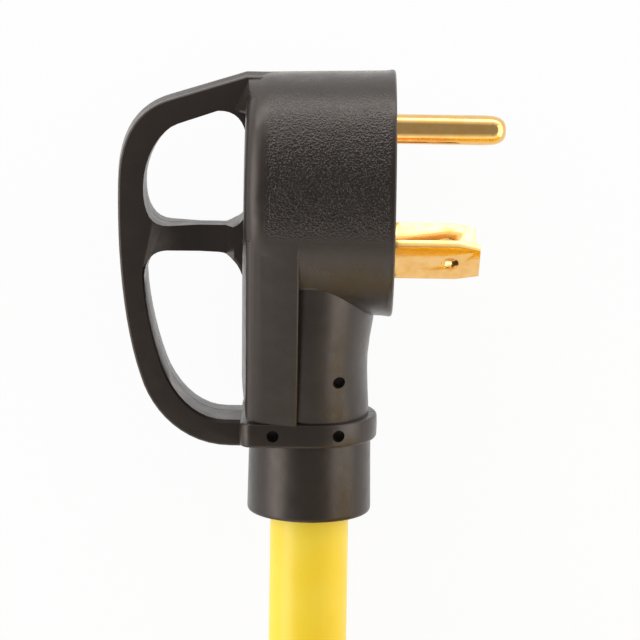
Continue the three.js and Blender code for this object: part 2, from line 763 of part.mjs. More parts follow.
// A strap round all the turns where none of them climbs.
function coilTie() {
  const turnsAt = [];
  const first = (tieAngle / 360 + 0.5) % 1;
  for (let turns = first; turns < coilLoops; turns++) {
    turnsAt.push(turns);
  }
  const radii = turnsAt.map((turns) => coilPoint(turns).sub(coilCentre).setZ(0).length());
  const sagitta = (tieWidth / 2) ** 2 / (2 * innerRadius);
  const low = Math.min(...radii) - cordRadius - sagitta - runGap;
  const high = Math.max(...radii) + cordRadius + runGap;
  const floor = tieThickness;
  const top = topLayerZ + cordRadius + seatGap;
  const frame = (grow, corner) => {
    const [x0, x1, y0, y1] = [low - grow, high + grow, floor - grow, top + grow];
    const outline = new THREE.Shape();
    outline.moveTo(x0 + corner, y0);
    outline.lineTo(x1 - corner, y0);
    outline.quadraticCurveTo(x1, y0, x1, y0 + corner);
    outline.lineTo(x1, y1 - corner);
    outline.quadraticCurveTo(x1, y1, x1 - corner, y1);
    outline.lineTo(x0 + corner, y1);
    outline.quadraticCurveTo(x0, y1, x0, y1 - corner);
    outline.lineTo(x0, y0 + corner);
    outline.quadraticCurveTo(x0, y0, x0 + corner, y0);
    return outline;
  };
  const outline = frame(tieThickness, tieCorner);
  outline.holes.push(frame(0, tieCorner - tieThickness));
  const strap = new THREE.ExtrudeGeometry(outline, {
    depth: tieWidth,
    curveSegments: 4,
    bevelEnabled: false,
  });
  strap.translate(0, 0, -tieWidth / 2);
  // the strap's free end lies pressed on its own top run
  const tabStart = (low + high - tieTabLength) / 2;
  const tab = box(
    tabStart, tabStart + tieTabLength, top + tieThickness / 2, top + 2 * tieThickness,
    -tieWidth / 2 + 1, tieWidth / 2 - 1,
  );
  const whole = geometryOf(solid(strap).add(solid(tab)));
  return whole.rotateX(Math.PI / 2).rotateZ(tieAngle * degree).translate(coilCentre.x, coilCentre.y, 0);
}

// ---- Cord from the coil to the connector ----

const tailStart = coilTopOf(outerRadius);
const tailPoints = tailPointsFor(outerRadius, tailStart).map((p) => p.add(coilCentre));

// ---- Far connector: y along its axis, from the cord to the face that meets the vehicle's inlet ----

const gripStartY = reliefLength + seatGap;
const shoulderY = gripStartY + gripLength;
const flangeY = shoulderY + runGap + ringLip + runGap;
const barrelEndY = shoulderY + barrelFrontLength;
const plateBackY = barrelEndY - plateThickness;
const ringStartY = shoulderY + runGap;

function connectorRelief() {
  const outside = [[reliefMouthRadius, 0]];
  const ribPitch = (reliefLength - 6) / reliefRibs;
  const radiusAt = (y) => reliefMouthRadius + ((reliefRootRadius - reliefMouthRadius) * y) / reliefLength;
  for (let i = 0; i < reliefRibs; i++) {
    const y = 3 + i * ribPitch;
    outside.push([radiusAt(y), y]);
    outside.push([radiusAt(y) - reliefGroove, y + ribPitch * 0.15]);
    outside.push([radiusAt(y) - reliefGroove, y + ribPitch * 0.4]);
    outside.push([radiusAt(y + ribPitch * 0.55), y + ribPitch * 0.55]);
  }
  outside.push([reliefRootRadius, reliefLength]);
  const inside = [
    [coreRadius, reliefLength],
    [coreRadius, 0],
  ];
  return turnedTube(outside, inside, 24);
}

function connectorGrip() {
  const neckEndY = gripStartY + 12;
  const outside = [
    [reliefRootRadius + 1.5, gripStartY],
    [reliefRootRadius + 3, gripStartY + 4],
    [gripRadius - 2.5, neckEndY],
    [gripRadius - 0.6, neckEndY + 5],
    [gripRadius, neckEndY + 10],
    [gripRadius, shoulderY - 0.8],
    [gripRadius - 0.8, shoulderY],
    [barrelFrontRadius, shoulderY],
    [barrelFrontRadius, flangeY],
    [flangeRadius, flangeY],
    [flangeRadius, flangeY + flangeThickness],
    [barrelFrontRadius, flangeY + flangeThickness],
    [barrelFrontRadius, barrelEndY - 0.5],
    [barrelFrontRadius - 0.5, barrelEndY],
  ];
  const inside = [
    [cavityRadius, barrelEndY],
    [cavityRadius, gripStartY + 20],
    [coreRadius, gripStartY + 8],
    [coreRadius, gripStartY],
  ];
  return turnedTube(outside, inside, 36);
}

function lockingRing() {
  const endY = ringStartY + ringLength;
  const boreStartY = ringStartY + ringLip;
  const thread = [];
  const threadEndY = endY - 2;
  for (let i = 0; i < threadTurns; i++) {
    const y = threadEndY - i * threadPitch;
    thread.push([ringBore, y]);
    thread.push([ringBore - threadDepth, y - threadPitch * 0.35]);
    thread.push([ringBore - threadDepth, y - threadPitch * 0.5]);
    thread.push([ringBore, y - threadPitch * 0.85]);
  }
  const outside = [
    [ringRadius - 3, ringStartY],
    [ringRadius - 1, ringStartY + 2],
    [ringRadius - 1, endY - 5],
    [ringRadius, endY - 4],
    [ringRadius, endY - 0.8],
    [ringRadius - 0.8, endY],
  ];
  const inside = [
    [ringBore, endY],
    ...thread,
    [ringBore, boreStartY],
    [barrelFrontRadius + runGap, boreStartY],
    [barrelFrontRadius + runGap, ringStartY],
  ];
  let ring = solid(turnedTube(outside, inside, 48));
  // finger flutes round the outside
  for (let i = 0; i < knurlCount; i++) {
    const a = (2 * Math.PI * (i + 0.5)) / knurlCount;
    const [x, z] = [ringRadius * Math.cos(a), ringRadius * Math.sin(a)];
    const flute = rodAlongY(knurlRadius, ringStartY + 3, endY - 5.5, x, z, 6);
    ring = ring.subtract(solid(flute));
  }
  return ring;
}

function ringGasket() {
  const y = flangeY + flangeThickness + seatGap;
  const inner = barrelFrontRadius + seatGap;
  return turnedTube(
    [[flangeRadius, y], [flangeRadius, y + gasketThickness]],
    [[inner, y + gasketThickness], [inner, y]],
    36,
  );
}

const slotAngles = [90, 210, 330];

// A piece of ring, centred on the given angle round the connector's axis.
function ringSector(radius, width, arc, angle, y0, y1) {
  const steps = 6;
  const edge = (r, from, to) =>
    Array.from({ length: steps + 1 }, (_, i) => {
      const a = (from + ((to - from) * i) / steps) * degree;
      return v2(r * Math.cos(a), r * Math.sin(a));
    });
  const outline = new THREE.Shape([
    ...edge(radius + width / 2, angle - arc / 2, angle + arc / 2),
    ...edge(radius - width / 2, angle + arc / 2, angle - arc / 2),
  ]);
  const sector = new THREE.ExtrudeGeometry(outline, { depth: y1 - y0, bevelEnabled: false });
  return sector.rotateX(Math.PI / 2).translate(0, y1, 0);
}

function connectorFace() {
  let plate = solid(rodAlongY(cavityRadius - seatGap, plateBackY, barrelEndY - 0.6, 0, 0, 48));
  for (const angle of slotAngles) {
    const slot = ringSector(slotCircle, slotWidth, slotArc, angle, plateBackY - 1, barrelEndY + 1);
    plate = plate.subtract(solid(slot));
  }
  return plate;
}

// A spring socket behind each slot, with a crimp barrel at its back.
function connectorSocket(angle) {
  const frontY = plateBackY - seatGap;
  const backY = frontY - socketHeight;
  const arc = slotArc + 8;
  const shell = ringSector(slotCircle, socketDepth, arc, angle, backY, frontY);
  const mouth = ringSector(slotCircle, slotWidth, slotArc, angle, backY + 2, frontY + 1);
  const x = slotCircle * Math.cos(angle * degree);
  const z = slotCircle * Math.sin(angle * degree);
  const barrel = rodAlongY(barrelRadius, backY - barrelLength, backY + 1, x, z, 20);
  const bore = rodAlongY(barrelBore, backY - barrelLength - 1, backY - 1, x, z, 16);
  return solid(shell).subtract(solid(mouth)).add(solid(barrel)).subtract(solid(bore));
}

const socketEndY = plateBackY - seatGap - socketHeight - barrelLength;
const insulationY = socketEndY - strandLength / 2;

function connectorStrands(angle) {
  const x = slotCircle * Math.cos(angle * degree);
  const z = slotCircle * Math.sin(angle * degree);
  return rodAlongY(strandRadius, insulationY + seatGap, socketEndY + barrelLength - 1 - seatGap, x, z, 12);
}

function connectorWire(angle) {
  const at = (radius, y) => v3(radius * Math.cos(angle * degree), y, radius * Math.sin(angle * degree));
  return tube(
    [
      at(wireSpread, seatGap),
      at(wireSpread, reliefLength / 2),
      at(wireSpread, gripStartY + 4),
      at((wireSpread + slotCircle) / 2, (gripStartY + 6 + insulationY) / 2),
      at(slotCircle, insulationY - 4),
      at(slotCircle, insulationY),
    ],
    wireRadius,
    8,
    10,
  );
}

const connector = new THREE.Group();
const circuits = [
  ['ground', slotAngles[0], greenInsulation],
  ['hot', slotAngles[1], blackInsulation],
  ['neutral', slotAngles[2], whiteInsulation],
];
connector.add(
  named('connector_relief', connectorRelief(), yellowVinyl),
  named('connector_grip', connectorGrip(), yellowVinyl),
  named('locking_ring', lockingRing(), ringPlastic),
  named('ring_gasket', ringGasket(), gasketRubber),
  named('connector_face', connectorFace(), platePlastic),
);
for (const [circuit, angle, insulation] of circuits) {
  connector.add(
    named(`connector_${circuit}_socket`, connectorSocket(angle), brass),
    named(`connector_${circuit}_strands`, connectorStrands(angle), copper),
    named(`connector_${circuit}_wire`, connectorWire(angle), insulation),
  );
}
connector.rotation.set(0, -lean, -90 * degree);
connector.position.copy(coilCentre).add(connectorMouth);

// ---- The whole cord set ----

const cordSet = new THREE.Group();
cordSet.add(
  plug,
  named('cord_lead', tube(leadPoints, cordRadius, 10, 8), yellowVinyl),
  named('cord_coil', loft(rings), yellowVinyl),
  named('coil_tie', coilTie(), hookAndLoop),
  named('cord_tail', tube(tailPoints, cordRadius, 10, 16), yellowVinyl),
  connector,
);

export default cordSet;
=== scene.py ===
# A 30 A shore power cord on a pale table. The plug with its grip handle lies on its side under the camera;
# the yellow cord leads away from it to a tied coil and a locking connector, outside the picture.
import math

import bmesh
import bpy
from mathutils import Matrix, Vector


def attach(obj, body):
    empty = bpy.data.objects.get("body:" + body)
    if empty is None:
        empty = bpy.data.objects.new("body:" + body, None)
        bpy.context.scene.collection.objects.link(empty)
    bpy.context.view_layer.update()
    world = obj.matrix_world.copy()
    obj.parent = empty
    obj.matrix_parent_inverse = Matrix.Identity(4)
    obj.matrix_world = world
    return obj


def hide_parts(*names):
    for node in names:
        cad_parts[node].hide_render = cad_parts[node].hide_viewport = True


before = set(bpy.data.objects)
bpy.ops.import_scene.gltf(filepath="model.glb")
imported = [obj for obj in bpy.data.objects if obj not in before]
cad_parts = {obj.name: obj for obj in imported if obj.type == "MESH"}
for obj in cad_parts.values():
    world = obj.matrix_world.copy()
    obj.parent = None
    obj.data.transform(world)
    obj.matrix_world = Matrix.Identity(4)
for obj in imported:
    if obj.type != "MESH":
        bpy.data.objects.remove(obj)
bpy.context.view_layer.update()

MM = 0.001

# The plug is modelled in millimetres in a frame of its own: x along the pins, y away from the cord and z
# across the plug. It lies tilted on the rim of its head and the end of its collar.
PLUG_TILT = math.radians(10.818)
PLUG_AT = Vector((0.6, 22.168, 26.15)) * MM
PLUG = Matrix.Translation(PLUG_AT) @ Matrix.Rotation(PLUG_TILT, 4, "X") @ Matrix.Scale(MM, 4)

# The connector lies on the coil, leaning on its ring. Its frame is in millimetres too, with y from the
# cord to the face that meets the vehicle.
CONNECTOR_LEAN = math.radians(11)
CONNECTOR_AT = Vector((105.294, -303, 85.3)) * MM
CONNECTOR_TURN = Matrix.Rotation(-CONNECTOR_LEAN, 4, "Y") @ Matrix.Rotation(math.radians(-90), 4, "Z")
CONNECTOR = Matrix.Translation(CONNECTOR_AT) @ CONNECTOR_TURN @ Matrix.Scale(MM, 4)

ALONG_X = Matrix.Rotation(math.radians(90), 4, "Y")
ALONG_Y = Matrix.Rotation(math.radians(-90), 4, "X")

# ---- Camera: straight down, from where the photograph was taken ----

CAMERA_AT = (0.00227, -0.0051, 0.666)
CAMERA_ROLL = math.radians(0.9)
SENSOR_WIDTH = 36
LENS = 168.75

bpy.ops.object.camera_add(location=CAMERA_AT, rotation=(0, 0, CAMERA_ROLL))
camera = bpy.context.object
camera.name = "camera"
camera.data.sensor_width = SENSOR_WIDTH
camera.data.lens = LENS
bpy.context.scene.camera = camera

# ---- Colours, nodes and materials ----


def colour(hex_value):
    """An sRGB hex value as linear RGBA."""
    channels = [int(hex_value[i : i + 2], 16) / 255 for i in (1, 3, 5)]
    return (*[c / 12.92 if c <= 0.04045 else ((c + 0.055) / 1.055) ** 2.4 for c in channels], 1)


def fill_inputs(node, inputs):
    """Gives a node's inputs their values, and links those whose value is another node's output."""
    for socket, value in inputs.items():
        if isinstance(value, bpy.types.NodeSocket):
            node.id_data.links.new(value, node.inputs[socket])
        else:
            node.inputs[socket].default_value = value


def add_node(tree, kind, inputs=None, **properties):
    """Adds a node with its properties and inputs, and returns its outputs."""
    node = tree.nodes.new("ShaderNode" + kind)
    for name, value in properties.items():
        setattr(node, name, value)
    fill_inputs(node, inputs or {})
    return node.outputs


def new_material(name, hex_value, roughness, metallic=0.0, **sockets):
    """A material with its shader's plain values set, its node tree, the shader and Object coordinates."""
    material = bpy.data.materials.new(name)
    material.use_nodes = True
    material.diffuse_color = colour(hex_value)
    tree = material.node_tree
    shader = tree.nodes["Principled BSDF"]
    plain = {"Base Color": colour(hex_value), "Roughness": roughness, "Metallic": metallic}
    named = {socket.replace("_", " "): value for socket, value in sockets.items()}
    fill_inputs(shader, {**plain, **named})
    return material, tree, shader, add_node(tree, "TexCoord")["Object"]


def mottled(name, plain, tints, shine, size_mm, detail, depth_mm):
    """A plastic with one noise in its colour, its roughness and its skin. Plain is its colour and
    roughness as a whole; tints and shine are what the noise takes them between."""
    material, tree, shader, place = new_material(name, *plain)
    mottle = add_node(
        tree, "TexNoise", {"Vector": place, "Scale": 1 / (size_mm * MM), "Detail": detail}
    )["Fac"]
    tint = add_node(tree, "Mix", {0: mottle, 6: colour(tints[0]), 7: colour(tints[1])}, data_type="RGBA")[2]
    rough = add_node(
        tree,
        "MapRange",
        {"Value": mottle, "From Min": 0.3, "From Max": 0.7, "To Min": shine[0], "To Max": shine[1]},
    )["Result"]
    pores = add_node(tree, "Bump", {"Height": mottle, "Distance": depth_mm * MM})["Normal"]
    fill_inputs(shader, {"Base Color": tint, "Roughness": rough, "Normal": pores})
    return material


# Flexible PVC, injection moulded over the contacts and the cord: a warm black that goes grey where it
# shines. The head's round sides have a leather grain from the mould, and the rest is satin smooth.
black_pvc, tree, shader, place = new_material(
    "moulded black PVC",
    "#15100e",
    0.34,
    Sheen_Roughness=0.22,
    Sheen_Tint=colour("#f4e6dc"),
    Specular_Tint=colour("#fff0e6"),
)
on_plug = add_node(
    tree,
    "Mapping",
    {"Vector": place, "Location": PLUG_AT, "Rotation": (PLUG_TILT, 0, 0)},
    vector_type="TEXTURE",
)["Vector"]
axes = add_node(tree, "SeparateXYZ", {"Vector": on_plug})
past_corner = add_node(
    tree, "MapRange", {"Value": axes["X"], "From Min": -10.4 * MM, "From Max": -9.0 * MM}
)["Result"]
before_rim = add_node(
    tree, "MapRange", {"Value": axes["X"], "From Min": 16.4 * MM, "From Max": 15.6 * MM}
)["Result"]
above_spine = add_node(
    tree, "MapRange", {"Value": axes["Y"], "From Min": -6.8 * MM, "From Max": -4.4 * MM}
)["Result"]
side_of_head = add_node(tree, "Math", {0: past_corner, 1: before_rim}, operation="MULTIPLY")[0]
grained = add_node(tree, "Math", {0: side_of_head, 1: above_spine}, operation="MULTIPLY")[0]
# The grain is a net of rounded pebbles, each about 0.43 mm across, that wander out of their rows.
PEBBLES_PER_METRE = 2300
WANDERS_PER_METRE = 1900
WANDER_MM = 0.6
wander = add_node(tree, "TexNoise", {"Vector": on_plug, "Scale": WANDERS_PER_METRE, "Detail": 2.0})["Color"]
shift = add_node(tree, "VectorMath", {0: wander, "Scale": WANDER_MM * MM}, operation="SCALE")["Vector"]
bent_place = add_node(tree, "VectorMath", {0: on_plug, 1: shift}, operation="ADD")["Vector"]
pebbles = add_node(
    tree,
    "TexVoronoi",
    {"Vector": bent_place, "Scale": PEBBLES_PER_METRE, "Smoothness": 0.5},
    feature="SMOOTH_F1",
)["Distance"]
fading = add_node(
    tree,
    "MapRange",
    {"Value": axes["Y"], "From Min": 13 * MM, "From Max": 23 * MM, "To Min": 1, "To Max": 0.2},
)["Result"]
strength = add_node(tree, "Math", {0: grained, 1: fading}, operation="MULTIPLY")[0]
grain = add_node(tree, "Math", {0: pebbles, 1: strength}, operation="MULTIPLY")[0]
flow = add_node(tree, "TexNoise", {"Vector": on_plug, "Scale": 1 / (9 * MM), "Detail": 2.0})["Fac"]
skin = add_node(tree, "TexNoise", {"Vector": on_plug, "Scale": 1 / (0.35 * MM), "Detail": 3.0})["Fac"]
waves = add_node(tree, "Bump", {"Height": flow, "Distance": 0.25 * MM})["Normal"]
pores = add_node(tree, "Bump", {"Height": skin, "Distance": 0.012 * MM, "Normal": waves})["Normal"]
leather = add_node(tree, "Bump", {"Height": grain, "Distance": 0.17 * MM, "Normal": pores})["Normal"]
off_middle = add_node(tree, "Math", {0: axes["Z"]}, operation="ABSOLUTE")[0]
parting = add_node(
    tree, "MapRange", {"Value": off_middle, "From Min": 0.1 * MM, "From Max": 0.4 * MM}
)["Result"]
parted = add_node(tree, "Bump", {"Height": parting, "Distance": 0.2 * MM, "Normal": leather})["Normal"]
# Where the grain is, the base colour is painted darker: painted shade for the shadow in the grain's pits.
# At a slant the grained part is greyer than the smooth parts, from its stronger sheen and shine.
tint = add_node(
    tree, "Mix", {0: grained, 6: colour("#201a16"), 7: colour("#050403")}, data_type="RGBA"
)[2]
shine = add_node(tree, "MapRange", {"Value": grained, "To Min": 0.6, "To Max": 0.7})["Result"]
sheen = add_node(tree, "MapRange", {"Value": grained, "To Min": 0.2, "To Max": 0.65})["Result"]
wear = add_node(tree, "TexNoise", {"Vector": on_plug, "Scale": 1 / (3 * MM), "Detail": 4.0})["Fac"]
worn = add_node(
    tree, "MapRange", {"Value": wear, "From Min": 0.3, "From Max": 0.7, "To Min": 0.27, "To Max": 0.36}
)["Result"]
fill_inputs(shader, {"Normal": parted, "Base Color": tint, "Roughness": worn})
fill_inputs(shader, {"Specular IOR Level": shine, "Sheen Weight": sheen})

# Glass-filled nylon of the contact carrier: a dense black with a fine mottle and a dull shine.
black_nylon = mottled(
    "moulded black nylon", ("#1d1d1f", 0.5), ("#19191b", "#222224"), (0.42, 0.58), 0.5, 4.0, 0.02
)

# Polished brass, drawn along the pins: warm yellow, with fine draw lines and a few duller patches.
brass, tree, shader, place = new_material("polished brass", "#f0bd72", 0.14, 1.0)
drawn_place = add_node(tree, "Mapping", {"Vector": place, "Scale": (0.06, 1, 1)})["Vector"]
drawn = add_node(tree, "TexNoise", {"Vector": drawn_place, "Scale": 1 / (0.25 * MM), "Detail": 3.0})["Fac"]
draw_lines = add_node(tree, "Bump", {"Height": drawn, "Distance": 0.006 * MM})["Normal"]
patches = add_node(tree, "TexNoise", {"Vector": place, "Scale": 1 / (2.2 * MM), "Detail": 3.0})["Fac"]
dulled = add_node(
    tree, "MapRange", {"Value": patches, "From Min": 0.35, "From Max": 0.75, "To Min": 0.09, "To Max": 0.2}
)["Result"]
browned = add_node(tree, "MapRange", {"Value": patches, "From Min": 0.4, "From Max": 0.8})["Result"]
tint = add_node(
    tree, "Mix", {0: browned, 6: colour("#f3c47c"), 7: colour("#eab261")}, data_type="RGBA"
)[2]
fill_inputs(shader, {"Normal": draw_lines, "Roughness": dulled, "Base Color": tint})

# Bare copper strands, bunched and twisted: pink-brown metal with the lay of the strands across it, and the
# grooves between strands painted darker as painted shade.
copper, tree, shader, place = new_material("stranded copper", "#c4744a", 0.32, 1.0)
strands = add_node(
    tree,
    "TexWave",
    {"Vector": place, "Scale": 1 / (0.5 * MM), "Distortion": 1.5},
    bands_direction="DIAGONAL",
)["Fac"]
ridges = add_node(tree, "Bump", {"Height": strands, "Distance": 0.08 * MM})["Normal"]
# The tint follows the strands' ridges: darker in the grooves between them, as painted shade.
tint = add_node(
    tree, "Mix", {0: strands, 6: colour("#a85c38"), 7: colour("#d08055")}, data_type="RGBA"
)[2]
fill_inputs(shader, {"Normal": ridges, "Base Color": tint})

# Extruded vinyl cord jacket: bright yellow with a satin skin, faintly rippled by the conductors in it.
yellow_jacket, tree, shader, place = new_material("extruded yellow vinyl", "#fcdc38", 0.36)
ripple = add_node(tree, "TexNoise", {"Vector": place, "Scale": 1 / (14 * MM), "Detail": 2.0})["Fac"]
skin = add_node(tree, "TexNoise", {"Vector": place, "Scale": 1 / (0.6 * MM), "Detail": 3.0})["Fac"]
rippled = add_node(tree, "Bump", {"Height": ripple, "Distance": 0.3 * MM})["Normal"]
pores = add_node(tree, "Bump", {"Height": skin, "Distance": 0.02 * MM, "Normal": rippled})["Normal"]
cloud = add_node(tree, "MapRange", {"Value": ripple, "From Min": 0.3, "From Max": 0.7})["Result"]
tint = add_node(
    tree, "Mix", {0: cloud, 6: colour("#fbd931"), 7: colour("#fde148")}, data_type="RGBA"
)[2]
rough = add_node(
    tree, "MapRange", {"Value": skin, "From Min": 0.3, "From Max": 0.7, "To Min": 0.32, "To Max": 0.42}
)["Result"]
fill_inputs(shader, {"Normal": pores, "Base Color": tint, "Roughness": rough})

# Moulded vinyl of the connector: the cord's yellow, a little fuller, with a fine spark-eroded skin.
yellow_vinyl, tree, shader, place = new_material("moulded yellow vinyl", "#f6cf2c", 0.45)
erosion = add_node(tree, "TexNoise", {"Vector": place, "Scale": 1 / (0.7 * MM), "Detail": 4.0})["Fac"]
pitted = add_node(tree, "Bump", {"Height": erosion, "Distance": 0.06 * MM})["Normal"]
cloud = add_node(tree, "TexNoise", {"Vector": place, "Scale": 1 / (12 * MM), "Detail": 2.0})["Fac"]
tint = add_node(
    tree, "Mix", {0: cloud, 6: colour("#f3ca25"), 7: colour("#fad83b")}, data_type="RGBA"
)[2]
rough = add_node(
    tree, "MapRange", {"Value": erosion, "From Min": 0.3, "From Max": 0.7, "To Min": 0.4, "To Max": 0.52}
)["Result"]
fill_inputs(shader, {"Normal": pitted, "Base Color": tint, "Roughness": rough})

# Extruded PVC on the conductors: clean colours with a gloss and a slight unevenness of tint.
green_pvc, black_wire_pvc, white_pvc = [
    mottled(f"extruded {name} PVC", (dark, 0.3), (dark, light), (0.26, 0.34), 3, 2.0, 0.04)
    for name, dark, light in (
        ("green", "#1d7a3c", "#258a47"),
        ("black", "#191919", "#232323"),
        ("white", "#e6e4dc", "#f1efe8"),
    )
]

# Woven nylon strap with a napped loop face: black, soft at the edges, lit up at a grazing angle.
strap_nylon, tree, shader, place = new_material("napped nylon strap", "#1e1e20", 0.9, Sheen_Weight=0.5)
loops = add_node(
    tree, "TexVoronoi", {"Vector": place, "Scale": 1 / (0.9 * MM), "Randomness": 0.9}
)["Distance"]
fuzz = add_node(tree, "TexNoise", {"Vector": place, "Scale": 1 / (0.3 * MM), "Detail": 5.0})["Fac"]
looped = add_node(tree, "Bump", {"Height": loops, "Distance": 0.4 * MM})["Normal"]
napped = add_node(tree, "Bump", {"Height": fuzz, "Distance": 0.15 * MM, "Normal": looped})["Normal"]
tint = add_node(
    tree, "Mix", {0: loops, 6: colour("#2b2b2e"), 7: colour("#131315")}, data_type="RGBA"
)[2]
rough = add_node(
    tree, "MapRange", {"Value": fuzz, "From Min": 0.3, "From Max": 0.7, "To Min": 0.82, "To Max": 0.98}
)["Result"]
fill_inputs(shader, {"Normal": napped, "Base Color": tint, "Roughness": rough})

# Moulded nylon of the locking ring: black with a soft gloss, greyed a little where hands have rubbed it.
ring_nylon, tree, shader, place = new_material("rubbed black nylon", "#242527", 0.38)
rubbed = add_node(tree, "TexNoise", {"Vector": place, "Scale": 1 / (6 * MM), "Detail": 5.0})["Fac"]
greyed = add_node(tree, "MapRange", {"Value": rubbed, "From Min": 0.45, "From Max": 0.75})["Result"]
tint = add_node(
    tree, "Mix", {0: greyed, 6: colour("#212224"), 7: colour("#303134")}, data_type="RGBA"
)[2]
rough = add_node(
    tree, "MapRange", {"Value": rubbed, "From Min": 0.35, "From Max": 0.7, "To Min": 0.32, "To Max": 0.5}
)["Result"]
skin = add_node(tree, "TexNoise", {"Vector": place, "Scale": 1 / (0.4 * MM), "Detail": 4.0})["Fac"]
pores = add_node(tree, "Bump", {"Height": skin, "Distance": 0.02 * MM})["Normal"]
fill_inputs(shader, {"Normal": pores, "Base Color": tint, "Roughness": rough})

# Silicone rubber of the gasket: a dull brick red with a powdery skin.
silicone = mottled(
    "moulded red silicone", ("#8c2f22", 0.7), ("#842a1e", "#963a2b"), (0.62, 0.78), 0.5, 4.0, 0.03
)

# Moulded nylon of the connector's face: ivory, with a low gloss and the swirl of the flowing plastic.
ivory_nylon, tree, shader, place = new_material("moulded ivory nylon", "#ece8dc", 0.4)
swirl = add_node(tree, "TexNoise", {"Vector": place, "Scale": 1 / (5 * MM), "Detail": 3.0})["Fac"]
tint = add_node(
    tree, "Mix", {0: swirl, 6: colour("#e6e1d3"), 7: colour("#f1eee5")}, data_type="RGBA"
)[2]
rough = add_node(
    tree, "MapRange", {"Value": swirl, "From Min": 0.3, "From Max": 0.7, "To Min": 0.34, "To Max": 0.46}
)["Result"]
skin = add_node(tree, "TexNoise", {"Vector": place, "Scale": 1 / (0.5 * MM), "Detail": 3.0})["Fac"]
pores = add_node(tree, "Bump", {"Height": skin, "Distance": 0.015 * MM})["Normal"]
fill_inputs(shader, {"Normal": pores, "Base Color": tint, "Roughness": rough})


def dress(node_name, material):
    """Gives a CAD node that stays in sight its finish."""
    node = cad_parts[node_name]
    node.data.materials.clear()
    node.data.materials.append(material)


for circuit, wire_finish in (("ground", green_pvc), ("hot", black_wire_pvc), ("neutral", white_pvc)):
    dress(f"plug_{circuit}_wire", wire_finish)
    dress(f"plug_{circuit}_strands", copper)
    dress(f"connector_{circuit}_wire", wire_finish)
    dress(f"connector_{circuit}_strands", copper)
    dress(f"connector_{circuit}_socket", brass)

# ---- Modelling: pieces are drawn in millimetres, then put in place by a frame ----


def only(piece):
    """Makes the piece the only one that is selected."""
    bpy.ops.object.select_all(action="DESELECT")
    piece.select_set(True)
    bpy.context.view_layer.objects.active = piece


def start_edit(piece):
    """Opens the piece in edit mode with all of it selected."""
    only(piece)
    bpy.ops.object.mode_set(mode="EDIT")
    bpy.ops.mesh.select_all(action="SELECT")


def end_edit():
    """Merges doubled points, turns every face outwards and leaves edit mode."""
    bpy.ops.mesh.select_all(action="SELECT")
    bpy.ops.mesh.remove_doubles(threshold=0.002)
    bpy.ops.mesh.normals_make_consistent(inside=False)
    bpy.ops.object.mode_set(mode="OBJECT")


def clean(piece):
    """Merges doubled points and turns every face outwards."""
    start_edit(piece)
    end_edit()


def select_where(piece, kind, test):
    """Selects the faces or edges whose middle and direction pass the test."""
    bpy.ops.mesh.select_mode(type=kind)
    bpy.ops.mesh.select_all(action="DESELECT")
    mesh = bmesh.from_edit_mesh(piece.data)
    if kind == "FACE":
        found = [face for face in mesh.faces if test(face.calc_center_median(), face.normal)]
    else:
        ends = {edge: [v.co for v in edge.verts] for edge in mesh.edges}
        found = [e for e, (a, b) in ends.items() if test((a + b) / 2, (b - a).normalized())]
    for part in found:
        part.select_set(True)
    bmesh.update_edit_mesh(piece.data)


def put(piece, place):
    """Moves the piece into a frame and applies the move."""
    only(piece)
    piece.matrix_world = place
    bpy.ops.object.transform_apply(location=True, rotation=True, scale=True)
    return piece


def block(name, size):
    """A box of this size about the origin, left in edit mode with all of it selected."""
    bpy.ops.object.select_all(action="DESELECT")
    bpy.ops.mesh.primitive_cube_add(size=1, location=(0, 0, 0))
    piece = bpy.context.object
    piece.name = name
    start_edit(piece)
    bpy.ops.transform.resize(value=size, center_override=(0, 0, 0))
    return piece


def raised(name, sections, sides=96):
    """A closed form raised ring by ring from a disc: each section is its height and half widths."""
    sections = [(*section, section[-1])[:3] for section in sections]
    bpy.ops.object.select_all(action="DESELECT")
    bpy.ops.mesh.primitive_circle_add(vertices=sides, radius=1, fill_type="NGON")
    piece = bpy.context.object
    piece.name = name
    start_edit(piece)
    height, wide, deep = sections[0]
    bpy.ops.transform.resize(value=(wide, deep, 1), center_override=(0, 0, 0))
    bpy.ops.transform.translate(value=(0, 0, height))
    for below, above in zip(sections, sections[1:]):
        bpy.ops.mesh.extrude_region_move(TRANSFORM_OT_translate={"value": (0, 0, above[0] - below[0])})
        bpy.ops.transform.resize(
            value=(above[1] / below[1], above[2] / below[2], 1), center_override=(0, 0, above[0])
        )
    end_edit()
    return piece


def made_mesh(name, data):
    """A curve linked to the scene and turned into a mesh with its doubled points merged."""
    piece = bpy.data.objects.new(name, data)
    bpy.context.scene.collection.objects.link(piece)
    only(piece)
    bpy.ops.object.convert(target="MESH")
    clean(bpy.context.object)
    return bpy.context.object


def rounding(radius, reach, steps=4):
    """How far in and up each step of a rounded edge goes."""
    angles = [math.pi / 2 * i / steps for i in range(steps + 1)]
    path = [(radius * (1 - math.cos(angle)), reach * math.sin(angle)) for angle in angles]
    return [(b[0] - a[0], b[1] - a[1]) for a, b in zip(path, path[1:])]


